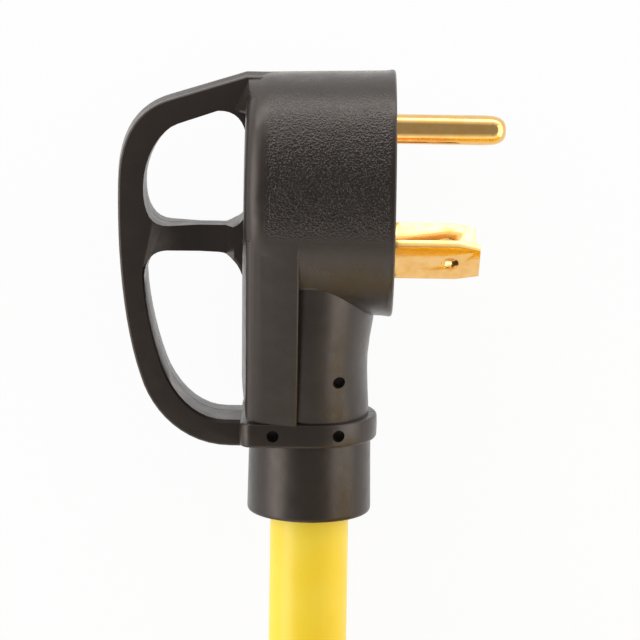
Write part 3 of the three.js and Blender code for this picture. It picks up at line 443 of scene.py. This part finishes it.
def plate(name, outline, rises, mirrored=True, steps=8):
    """A plate on its outline, which is a start and runs: one point for a straight run, a control and an
    end for a bent one, two controls and an end for a curved one. Each rise goes so far in and up."""
    data = bpy.data.curves.new(name, "CURVE")
    data.dimensions = "2D"
    data.fill_mode = "BOTH"
    data.resolution_u = steps
    spline = data.splines.new("BEZIER")
    spline.bezier_points.add(len(outline) - 2)
    spline.use_cyclic_u = True
    knots = spline.bezier_points
    ends = [outline[0], *[run[-1] for run in outline[1:-1]]]
    for knot, end in zip(knots, ends):
        knot.co = (*end, 0)
        knot.handle_left_type = knot.handle_right_type = "FREE"
    for i, run in enumerate(outline[1:]):
        here, there = knots[i], knots[(i + 1) % len(knots)]
        if len(run) == 1:
            here.handle_right_type = there.handle_left_type = "VECTOR"
            continue
        controls = [Vector((*point, 0)) for point in run[:-1]]
        if len(controls) == 1:
            controls = [end.lerp(controls[0], 2 / 3) for end in (here.co, there.co)]
        here.handle_right, there.handle_left = controls
    piece = made_mesh(name, data)
    start_edit(piece)
    bpy.ops.mesh.dissolve_faces()
    for inwards, upwards in rises:
        bpy.ops.mesh.inset(thickness=max(inwards, 0.0001), depth=upwards)
    if not mirrored:
        bpy.ops.mesh.select_mode(type="EDGE")
        bpy.ops.mesh.select_non_manifold()
        bpy.ops.mesh.edge_face_add()
    bpy.ops.object.mode_set(mode="OBJECT")
    if mirrored:
        mirror = piece.modifiers.new("other half", "MIRROR")
        mirror.use_axis = (False, False, True)
        mirror.merge_threshold = 0.001
        bpy.ops.object.modifier_apply(modifier=mirror.name)
    clean(piece)
    return piece


def spun(name, profile, ease=0.4, steps=96):
    """A closed profile of radius and height, its corners eased, turned a full circle about z."""
    corners = [Vector((radius, 0, height)) for radius, height in profile]
    points = []
    for i, corner in enumerate(corners):
        sides = [corners[i - 1] - corner, corners[(i + 1) % len(corners)] - corner]
        first, last = [corner + side.normalized() * min(ease, side.length * 0.4) for side in sides]
        points += [first.lerp(corner, t).lerp(corner.lerp(last, t), t) for t in (0, 0.35, 0.65, 1)]
    data = bpy.data.curves.new(name, "CURVE")
    data.dimensions = "3D"
    spline = data.splines.new("POLY")
    spline.points.add(len(points) - 1)
    spline.use_cyclic_u = True
    for knot, point in zip(spline.points, points):
        knot.co = (*point, 1)
    piece = made_mesh(name, data)
    start_edit(piece)
    bpy.ops.mesh.spin(steps=steps, angle=2 * math.pi, center=(0, 0, 0), axis=(0, 0, 1))
    end_edit()
    return piece


def combine(piece, tool, operation):
    """Joins the tool to the piece or cuts it away."""
    modifier = piece.modifiers.new("tool", "BOOLEAN")
    modifier.operation = operation
    modifier.object = tool
    modifier.solver = "EXACT"
    only(piece)
    bpy.ops.object.modifier_apply(modifier=modifier.name)
    bpy.data.objects.remove(tool)


def finished(piece, place, material, body, slot, *nodes, smooth=35):
    """Puts a piece in place with its finish, and hands it over for the CAD nodes that it stands for."""
    put(piece, place)
    piece.data.materials.clear()
    piece.data.materials.append(material)
    bpy.ops.object.shade_smooth_by_angle(angle=math.radians(smooth))
    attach(piece, body)
    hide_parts(*nodes)
    return piece


def copy_of(node_name, name, edge, segments=2):
    """A copy of a CAD node, its flat faces made whole and its sharp edges eased by this many metres."""
    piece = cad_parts[node_name].copy()
    piece.data = piece.data.copy()
    piece.name = name
    bpy.context.scene.collection.objects.link(piece)
    start_edit(piece)
    bpy.ops.mesh.remove_doubles(threshold=0.000002)
    bpy.ops.mesh.dissolve_limited(angle_limit=math.radians(1))
    bpy.ops.mesh.normals_make_consistent(inside=False)
    bpy.ops.object.mode_set(mode="OBJECT")
    bevel = piece.modifiers.new("eased edges", "BEVEL")
    bevel.width = edge
    bevel.segments = segments
    bevel.limit_method = "ANGLE"
    bevel.angle_limit = math.radians(40)
    bpy.ops.object.modifier_apply(modifier=bevel.name)
    return piece


# ---- Plug housing: head, neck, band, collar and grip, moulded as one ----

housing = put(
    raised(
        "plug_housing",
        [
            (-14.55, 20.4),
            (-14.45, 21.5),
            (-14.15, 22.5),
            (-13.65, 23.4),
            (-12.95, 24.2),
            (-12.05, 24.8),
            (-10.9, 25.25),
            (-9.5, 25.5),
            (-4, 25.65),
            (1, 25.8),
            (6, 25.9),
            (11, 26.02),
            (14.6, 26.1),
            (15.7, 26.22),
            (16.2, 26.3),
            (16.6, 26.25),
            (16.85, 26),
            (16.95, 25.7),
        ],
        sides=144,
    ),
    ALONG_X,
)

# The spine's flat sides run from the head's round side, whose back edge it shares, to the band, and
# its back is slightly crowned.
spine = plate(
    "spine",
    [(24.9, -6.35), [(0, 8)], [(-24.9, -6.35)], [(-14, -49)], [(14, -49)], [(24.9, -6.35)]],
    [
        (0.1, 1.7),
        (0.35, 4.0),
        (0.3, 2.4),
        (0.3, 1.0),
        (0.35, 0.9),
        (0.45, 0.6),
        (0.55, 0.35),
        (2.6, 0.42),
        (3.0, 0.42),
        (2.2, 0.21),
    ],
    mirrored=False,
)
start_edit(spine)
select_where(spine, "EDGE", lambda middle, run: abs(middle.z) < 0.01 and middle.y < -7)
bpy.ops.mesh.bevel(offset=0.55, segments=4, affect="EDGES")
end_edit()
put(spine, Matrix.Translation((-2.85, 0, 0)) @ Matrix.Rotation(math.radians(-90), 4, "Y"))
combine(housing, spine, "UNION")

neck = raised(
    "neck",
    [
        (-6.5, 13.7, 21.2),
        (-18, 13.7, 18.7),
        (-22, 13.6, 18.15),
        (-27, 13.1, 17.35),
        (-31, 12.45, 16.7),
        (-35, 12.03, 16),
        (-38, 12, 15.4),
        (-42, 12.15, 14.65),
        (-46, 12.38, 13.9),
        (-49, 12.5, 13.3),
    ],
)
combine(housing, put(neck, ALONG_Y), "UNION")

collar = raised(
    "collar",
    [
        (-69.45, 12.75),
        (-69.38, 13.02),
        (-69.2, 13.22),
        (-68.9, 13.33),
        (-68.5, 13.36),
        (-53.6, 13.12),
        (-51, 13.1),
    ],
)
combine(housing, put(collar, Matrix.Translation((-0.15, 0, 0)) @ ALONG_Y), "UNION")

band = plate(
    "band",
    [
        (0, -14.3),
        [(7.9, -14.3), (14.3, -7.9), (14.3, 0)],
        [(14.3, 7.9), (7.9, 14.3), (0, 14.3)],
        [(-12.1, 14.3)],
        [(-13.76, 14.3), (-15.1, 12.96), (-15.1, 11.3)],
        [(-15.1, -11.3)],
        [(-15.1, -12.96), (-13.76, -14.3), (-12.1, -14.3)],
        [(0, -14.3)],
    ],
    [(0.05, 1.95), *rounding(0.6, 0.65)],
    steps=14,
)
# The band's outline stands across the neck.
put(band, Matrix.Translation((0, -50.4, 0)) @ Matrix.Rotation(math.radians(90), 4, "X"))
combine(housing, band, "UNION")

# The loop is this thick to each side of its middle, with straight sides and rounded edges, and from
# this y on its faces lean in towards the head.
LOOP_HALF = 7.8
STRAIGHT_HALF = 5.2
LOOP_EDGE = 0.7
THINS_FROM = -12
THINNING = 0.09
grip = plate(
    "grip",
    [
        (-8, 25.6),
        [(-14.6, 25.6)],
        [(-30.9, 20.5)],
        [(-37, 18.6), (-41.86, 13.5), (-41.86, 2)],
        [(-41.95, -12), (-40.7, -28.4), (-36.8, -39.4)],
        [(-34.4, -47.2), (-27.3, -54.6), (-17, -54.5)],
        [(-8, -54.5)],
        [(-8, 25.6)],
    ],
    [
        (0.25, STRAIGHT_HALF),
        (0.2, LOOP_HALF - STRAIGHT_HALF - LOOP_EDGE),
        *rounding(0.55, LOOP_EDGE),
    ],
    steps=12,
)
start_edit(grip)
bpy.ops.mesh.bisect(plane_co=(0, THINS_FROM, 0), plane_no=(0, 1, 0))
for side in (-1, 1):
    select_where(
        grip, "FACE", lambda middle, normal: middle.z * side > STRAIGHT_HALF and middle.y > THINS_FROM
    )
    bpy.ops.transform.rotate(
        value=math.atan(THINNING) * side,
        orient_axis="X",
        center_override=(0, THINS_FROM, LOOP_HALF * side),
    )
end_edit()
# Two finger holes with the bar between them. Each half of the mould draws out its own way, so a hole is
# narrowest at the parting line.
upper_hole = [
    (-30.5, -6.9),
    [(-19, -6.9)],
    [(-15, -6.9), (-14.5, -2.8)],
    [(-12, -2)],
    [(-12, 10)],
    [(-14.5, 11.2)],
    [(-15.2, 17.6), (-20.6, 17.3)],
    [(-28.8, 14.5)],
    [(-32.6, 13.2), (-35.85, 7.5), (-35.85, 1.5)],
    [(-35.85, -6.9), (-30.5, -6.9)],
]
lower_hole = [
    (-31, -12.55),
    [(-35.2, -12.6), (-35.5, -17.8)],
    [(-35.2, -25), (-32.9, -34), (-30.6, -39)],
    [(-27.8, -44.5), (-23.5, -47.9), (-18.5, -47.9)],
    [(-12, -47.9)],
    [(-12, -19.5)],
    [(-14.9, -18.5)],
    [(-16.2, -13.1), (-20.3, -12.95)],
    [(-31, -12.55)],
]
HOLE_OVERLAP = 0.05
HOLE_TO_LIP = 7.3
HOLE_LIP = 0.7
DRAFT = 1.025
LIP_DRAFT = 1.05
for outline, middle_of_hole in ((upper_hole, (-24.5, -4.45, 8)), (lower_hole, (-25, -30.225, 8))):
    for side in (-1, 1):
        hole = plate("hole", outline, [(0, HOLE_TO_LIP), (0, HOLE_LIP)], mirrored=False)
        put(hole, Matrix.Translation((0, 0, -HOLE_OVERLAP)))
        start_edit(hole)
        select_where(hole, "FACE", lambda middle, normal: middle.z > HOLE_TO_LIP - HOLE_OVERLAP)
        bpy.ops.transform.resize(value=(DRAFT, DRAFT, 1), center_override=middle_of_hole)
        select_where(hole, "FACE", lambda middle, normal: normal.z > 0.9)
        bpy.ops.transform.resize(value=(LIP_DRAFT, LIP_DRAFT, 1), center_override=middle_of_hole)
        end_edit()
        put(hole, Matrix.Scale(side, 4, (0, 0, 1)))
        clean(hole)
        combine(grip, hole, "DIFFERENCE")
# The cuts that follow need the grip's doubled points merged.
clean(grip)
# The middle bar is sunk below the loop's faces, with a long slope at one end and a short one at the other.
BAR_AT = (-21.5, -9.8, 0)
BAR_HALF = 2.9
TROUGH_SIZE = (5.6, 11, 6)
for side in (-1, 1):
    trough = block("trough", TROUGH_SIZE)
    select_where(trough, "FACE", lambda middle, normal: normal.z > 0.9)
    bpy.ops.transform.resize(value=(4, 1, 1), center_override=(0, 0, TROUGH_SIZE[2] / 2))
    bpy.ops.transform.translate(value=(-6, 0, 0))
    end_edit()
    sunk = Matrix.Translation(BAR_AT) @ Matrix.Scale(side, 4, (0, 0, 1))
    put(trough, sunk @ Matrix.Translation((0, 0, BAR_HALF + TROUGH_SIZE[2] / 2)))
    clean(trough)
    combine(grip, trough, "DIFFERENCE")
clean(grip)
combine(housing, grip, "UNION")

# The loop's top flares where it runs into the head, and its upper side keeps to the head's round.
ROOT_SIZE = (6.2, 7, 9.4)
ROOT_AT = (-14.7, 20.9, 0)
root = block("root", ROOT_SIZE)
bpy.ops.transform.translate(value=ROOT_AT)
select_where(root, "FACE", lambda middle, normal: normal.x > 0.9)
bpy.ops.transform.resize(value=(1, 1.3, 3), center_override=ROOT_AT)
bpy.ops.transform.translate(value=(0, 1.1, 0))
select_where(root, "EDGE", lambda middle, run: middle.x < -17 and middle.y > 24)
bpy.ops.transform.translate(value=(3.6, 0, 0))
select_where(root, "EDGE", lambda middle, run: abs(run.x) > 0.3)
bpy.ops.mesh.bevel(offset=2, segments=5, affect="EDGES")
end_edit()
round_side = raised("round_side", [(-20, 24.7), (-11.2, 24.95)], sides=144)
combine(root, put(round_side, ALONG_X), "INTERSECT")
combine(housing, root, "UNION")

chamber = raised("chamber", [(-9.6, 19.4), (8.8, 19.4), (8.8, 20.3), (22, 20.3)])
combine(housing, put(chamber, ALONG_X), "DIFFERENCE")
passage = raised("passage", [(-75, 6.5), (-38, 6.5), (-14, 12.4), (-9, 12.4)], sides=48)
combine(housing, put(passage, ALONG_Y), "DIFFERENCE")

# Blind holes, where pins of the mould held what is inside.
PIT_RADIUS = 1.25
PIN_RADIUS = 1.35
PIN_END = 20
for x, y, surface, depth in ((5.9, -38.7, 13.3, 4), (6, -50.4, 12.98, 4), (-8, -50.4, 14.3, 4.5)):
    for side in (-1, 1):
        pit = raised("pit", [(surface - depth, PIT_RADIUS), (PIN_END, PIN_RADIUS)], sides=32)
        put(pit, Matrix.Translation((x, y, 0)) @ Matrix.Scale(side, 4, (0, 0, 1)))
        clean(pit)
        combine(housing, pit, "DIFFERENCE")
finished(housing, PLUG, black_pvc, "cord_set", "black_vinyl", "head_overmould", "grip_handle", smooth=32)

# ---- Plug contacts and their carrier ----

pin = raised(
    "ground_contact",
    [
        (9, 3.175),
        (36.7, 3.175),
        (36.9, 3.1),
        (37.6, 3.08),
        (38.4, 2.95),
        (39.2, 2.65),
        (39.9, 2.15),
        (40.3, 1.5),
        (40.48, 0.8),
        (40.5, 0.3),
    ],
    sides=64,
)
put(pin, Matrix.Translation((0, 13.8, 0)) @ ALONG_X)
finished(pin, PLUG, brass, "cord_set", "brass", "ground_pin", smooth=50)
BLADE_EDGE = 0.22 * MM
MOULDED_EDGE = 0.4 * MM
for circuit in ("hot", "neutral"):
    blade = copy_of(f"{circuit}_blade", f"{circuit}_contact", BLADE_EDGE, segments=3)
    finished(blade, Matrix.Identity(4), brass, "cord_set", "brass", f"{circuit}_blade")
carrier = copy_of("blade_carrier", "contact_carrier", MOULDED_EDGE)
finished(carrier, Matrix.Identity(4), black_nylon, "cord_set", "insert_plastic", "blade_carrier")

# ---- Far connector ----

AT_CONNECTOR = CONNECTOR @ ALONG_Y
BOOT_LENGTH = 34
BOOT_TIP_RADIUS = 11.5
BOOT_END_RADIUS = 14.5
BOOT_BORE = 6.5
BOOT_GROOVES = 5
GROOVE_PITCH = 5.6
outside = [(BOOT_TIP_RADIUS, 0)]
for i in range(BOOT_GROOVES):
    y = 3 + GROOVE_PITCH * i
    reach = BOOT_TIP_RADIUS + (BOOT_END_RADIUS - BOOT_TIP_RADIUS) * y / BOOT_LENGTH
    outside += [(reach, y), (reach - 1.1, y + 0.7), (reach - 1, y + 2.3), (reach + 0.25, y + 3.1)]
inside = [(BOOT_END_RADIUS, BOOT_LENGTH), (BOOT_BORE, BOOT_LENGTH), (BOOT_BORE, 0)]
relief = spun("connector_boot", [*outside, *inside], ease=0.45)
finished(relief, AT_CONNECTOR, yellow_vinyl, "cord_set", "connector_vinyl", "connector_relief")

grip_body = spun(
    "connector_body",
    [
        (16, 34.3),
        (17.5, 38.3),
        (19.6, 43),
        (21.5, 46.3),
        (23.4, 51.3),
        (24, 56.3),
        (23.55, 57.1),
        (23.55, 58.1),
        (24, 58.9),
        (24, 64),
        (23.55, 64.8),
        (23.55, 65.8),
        (24, 66.6),
        (24, 75.3),
        (21, 75.3),
        (21, 83.1),
        (24, 83.1),
        (24, 85.5),
        (21, 85.5),
        (21, 98.3),
        (18, 98.3),
        (18, 54.3),
        (6.5, 42.3),
        (6.5, 34.3),
    ],
    ease=0.5,
)
finished(grip_body, AT_CONNECTOR, yellow_vinyl, "cord_set", "connector_vinyl", "connector_grip")

seal = spun("connector_seal", [(24, 85.8), (24, 87.8), (21.3, 87.8), (21.3, 85.8)], ease=0.6)
finished(seal, AT_CONNECTOR, silicone, "cord_set", "gasket_rubber", "ring_gasket")

RING_BORE = 26.2
CREST = 25.3
THREADS = 3
THREAD_PITCH = 3.2
thread = []
for i in range(THREADS):
    y = 103.7 - THREAD_PITCH * i
    thread += [(RING_BORE, y), (CREST, y - 1.12), (CREST, y - 1.6), (RING_BORE, y - 2.72)]
ring = spun(
    "connector_ring",
    [
        (27, 75.7),
        (29, 77.7),
        (29, 100.7),
        (30, 101.7),
        (30, 104.9),
        (29.2, 105.7),
        (RING_BORE, 105.7),
        *thread,
        (RING_BORE, 82.7),
        (21.4, 82.7),
        (21.4, 75.7),
    ],
    ease=0.5,
    steps=128,
)
FLUTES = 16
FLUTES_ON_RADIUS = 29.9
flute_sections = [(79, 0.7), (79.6, 1.5), (80.6, 1.95), (98.4, 1.95), (99.6, 1.5), (100.2, 0.7)]
for i in range(FLUTES):
    flute = raised("flute", flute_sections, sides=24)
    around = Matrix.Rotation(2 * math.pi * (i + 0.5) / FLUTES, 4, "Z")
    put(flute, around @ Matrix.Translation((FLUTES_ON_RADIUS, 0, 0)))
    combine(ring, flute, "DIFFERENCE")
finished(ring, AT_CONNECTOR, ring_nylon, "ring", "ring_plastic", "locking_ring")

face = copy_of("connector_face", "connector_front", MOULDED_EDGE)
finished(face, Matrix.Identity(4), ivory_nylon, "cord_set", "plate_plastic", "connector_face")

# ---- Strap round the coil ----

STRAP_WIDTH = 22
STRAP_THICKNESS = 1.2
STRAP_CORNER = 8.7
TURNS_LOW = Vector((192.48, -204, 1.2))
TURNS_HIGH = Vector((246.14, -204, 71.3))
TAB_LENGTH = 26
TAB_THICKNESS = 1.3
TAB_CORNER = 7
SEAM_IN = 0.9
SEAM_WIDTH = 0.35
SEAM_DEPTH = 0.25
TAB_SINK = 0.15

strap = block("coil_strap", (TURNS_HIGH.x - TURNS_LOW.x, STRAP_WIDTH, TURNS_HIGH.z - TURNS_LOW.z))
bpy.ops.transform.translate(value=(TURNS_LOW + TURNS_HIGH) / 2)
select_where(strap, "EDGE", lambda middle, run: abs(run.y) > 0.9)
bpy.ops.mesh.bevel(offset=STRAP_CORNER, segments=10, affect="EDGES")
select_where(strap, "FACE", lambda middle, normal: abs(normal.y) > 0.9)
bpy.ops.mesh.delete(type="FACE")
end_edit()
wall = strap.modifiers.new("webbing", "SOLIDIFY")
wall.thickness = STRAP_THICKNESS
wall.offset = 1
wall.use_even_offset = True
bpy.ops.object.modifier_apply(modifier=wall.name)

# The free end is pressed on the top run, with a rounded tip and a seam sewn round its edge.
tab = block("tab", (TAB_LENGTH, STRAP_WIDTH - 2, TAB_THICKNESS))
select_where(tab, "EDGE", lambda middle, run: abs(run.z) > 0.9 and middle.x < 0)
bpy.ops.mesh.bevel(offset=TAB_CORNER, segments=6, affect="EDGES")
select_where(tab, "FACE", lambda middle, normal: normal.z > 0.9)
bpy.ops.mesh.inset(thickness=SEAM_IN, depth=0)
bpy.ops.mesh.inset(thickness=SEAM_WIDTH, depth=-SEAM_DEPTH)
bpy.ops.mesh.inset(thickness=SEAM_WIDTH, depth=SEAM_DEPTH)
end_edit()
tab_height = TURNS_HIGH.z + STRAP_THICKNESS + TAB_THICKNESS / 2 - TAB_SINK
put(tab, Matrix.Translation(((TURNS_LOW.x + TURNS_HIGH.x) / 2, TURNS_LOW.y, tab_height)))
combine(strap, tab, "UNION")
finished(strap, Matrix.Scale(MM, 4), strap_nylon, "cord_set", "hook_and_loop", "coil_tie", smooth=40)

# ---- Cord: one run from the plug through the coil to the connector ----

CORD_RADIUS = 8.5
COIL_LOOPS = 11.75
COIL_LAYERS = 4
TURNS_PER_LAYER = 3
COIL_PITCH = 17.5
OUTER_RADIUS = 122.694
LAYER_Z = 10.0
COIL_CENTRE = Vector((123.294, -204, 0))
POINTS_PER_TURN = 16


def coil_point(turns):
    """The turns spiral in and out, and climb a layer in the half turn where they reverse."""
    layer = min(int(turns / TURNS_PER_LAYER), COIL_LAYERS - 1)
    share = turns / TURNS_PER_LAYER - layer
    inwards = share if layer % 2 == 0 else 1 - share
    radius = OUTER_RADIUS - TURNS_PER_LAYER * COIL_PITCH * inwards
    climbed = 0.0
    for k in range(1, COIL_LAYERS):
        through = min(max((turns - k * TURNS_PER_LAYER) * 2 + 0.5, 0), 1)
        climbed += through * through * (3 - 2 * through)
    angle = math.pi + 2 * math.pi * turns
    return COIL_CENTRE + Vector(
        (radius * math.cos(angle), radius * math.sin(angle), LAYER_Z + COIL_PITCH * climbed)
    )


COLLAR_END = -69.5
exit_point = PLUG @ Vector((0, COLLAR_END, 0)) / MM
lead = [
    exit_point,
    PLUG @ Vector((0, COLLAR_END - 17, 0)) / MM,
    (0.6, -75.5, 8.95),
    (0.6, -92, 8.6),
    (0.6, -112, 8.6),
    (0.6, -135, 9.1),
    (0.6, -169.7, 10),
    (0.6, -186.7, 10),
]
wound = [coil_point(i / POINTS_PER_TURN) for i in range(int(COIL_LOOPS * POINTS_PER_TURN) + 1)]
tail = [
    (105.99, -85.68, 62.5),
    (97.49, -85.68, 62.5),
    (79.79, -87.58, 62.9),
    (60.19, -94.28, 64.5),
    (26, -125.21, 70.5),
    (7.06, -161.69, 77.1),
    (0.6, -204, 80),
    (4.89, -234.59, 80),
    (17.35, -262.19, 80),
    (36.75, -284.09, 80),
    (61.19, -298.15, 80.2),
    (88.31, -303, 82),
    (105, -303, 85.24),
]

line = bpy.data.curves.new("cord", "CURVE")
line.dimensions = "3D"
spline = line.splines.new("BEZIER")
route = [Vector(point) * MM for point in lead + wound + tail]
spline.bezier_points.add(len(route) - 1)
for knot, point in zip(spline.bezier_points, route):
    knot.co = point
    knot.handle_left_type = knot.handle_right_type = "AUTO"
line.bevel_depth = CORD_RADIUS * MM
line.bevel_resolution = 10
line.resolution_u = 4
line.use_fill_caps = True
line.materials.append(yellow_jacket)
cord = bpy.data.objects.new("cord", line)
bpy.context.scene.collection.objects.link(cord)
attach(cord, "cord_set")
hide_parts("cord_lead", "cord_coil", "cord_tail")

# ---- Table, lamps and surroundings ----

WHITE = (1, 1, 1, 1)
GLOW_SHARE = 0.95
TENT_LOW = 1.5
TENT_TOP = 0.34
LAMPS_FACE = Vector((0, 0, 0.02))
TABLE_SIZE = 6
TABLE_TOP = -0.2 * MM

bpy.ops.mesh.primitive_plane_add(size=TABLE_SIZE, location=(0, 0, TABLE_TOP))
table = bpy.context.object
table.name = "table"
# A white sweep: it shows white to the eye and in reflections, and a light shadow falls on it.
sweep, tree, shader, _ = new_material("white sweep", "#ededed", 0.8)
path = add_node(tree, "LightPath")
looked_at = add_node(
    tree, "Math", {0: path["Is Camera Ray"], 1: path["Is Glossy Ray"]}, operation="MAXIMUM"
)[0]
seen = add_node(tree, "Math", {0: looked_at, 1: path["Is Transmission Ray"]}, operation="MAXIMUM")[0]
share = add_node(tree, "Math", {0: seen, 1: GLOW_SHARE}, operation="MULTIPLY")[0]
glow = add_node(tree, "Emission", {"Color": WHITE, "Strength": 1.0})[0]
blend = add_node(tree, "MixShader", {0: share, 1: shader.outputs[0], 2: glow})[0]
fill_inputs(tree.nodes["Material Output"], {"Surface": blend})
table.data.materials.append(sweep)

world = bpy.data.worlds.new("light tent")
bpy.context.scene.world = world
world.use_nodes = True
tree = world.node_tree
tree.nodes.clear()
# The tent is bright at the table's edge and darkest just above the plug, where the camera looks through it.
direction = add_node(tree, "TexCoord")["Generated"]
height = add_node(
    tree, "VectorMath", {0: direction, 1: (0, 0.05, 0.999)}, operation="DOT_PRODUCT"
)["Value"]
shade = add_node(
    tree,
    "MapRange",
    {"Value": height, "From Min": 0.3, "From Max": 0.77, "To Min": TENT_LOW, "To Max": TENT_TOP},
)["Result"]
tent = add_node(tree, "Background", {"Color": WHITE, "Strength": shade})[0]
backdrop = add_node(tree, "Background", {"Color": WHITE, "Strength": 1.0})[0]
by_camera = add_node(tree, "LightPath")["Is Camera Ray"]
mixed = add_node(tree, "MixShader", {0: by_camera, 1: tent, 2: backdrop})[0]
add_node(tree, "OutputWorld", {"Surface": mixed})


def soft_lamp(name, place, width, depth, power):
    """A soft box that faces the object."""
    bpy.ops.object.light_add(type="AREA", location=place)
    lamp = bpy.context.object
    lamp.name = name
    lamp.data.shape = "RECTANGLE"
    lamp.data.size = width
    lamp.data.size_y = depth
    lamp.data.energy = power
    lamp.rotation_euler = (LAMPS_FACE - Vector(place)).to_track_quat("-Z", "Y").to_euler()


soft_lamp("key_box", (0.0, 0.9, 0.13), 1.8, 0.28, 4.3)
soft_lamp("right_box", (0.85, 0.0, 0.4), 1.4, 0.7, 4.4)
soft_lamp("left_box", (-0.85, 0.0, 0.4), 1.2, 0.5, 3.6)
bpy.context.scene.view_settings.view_transform = "Standard"
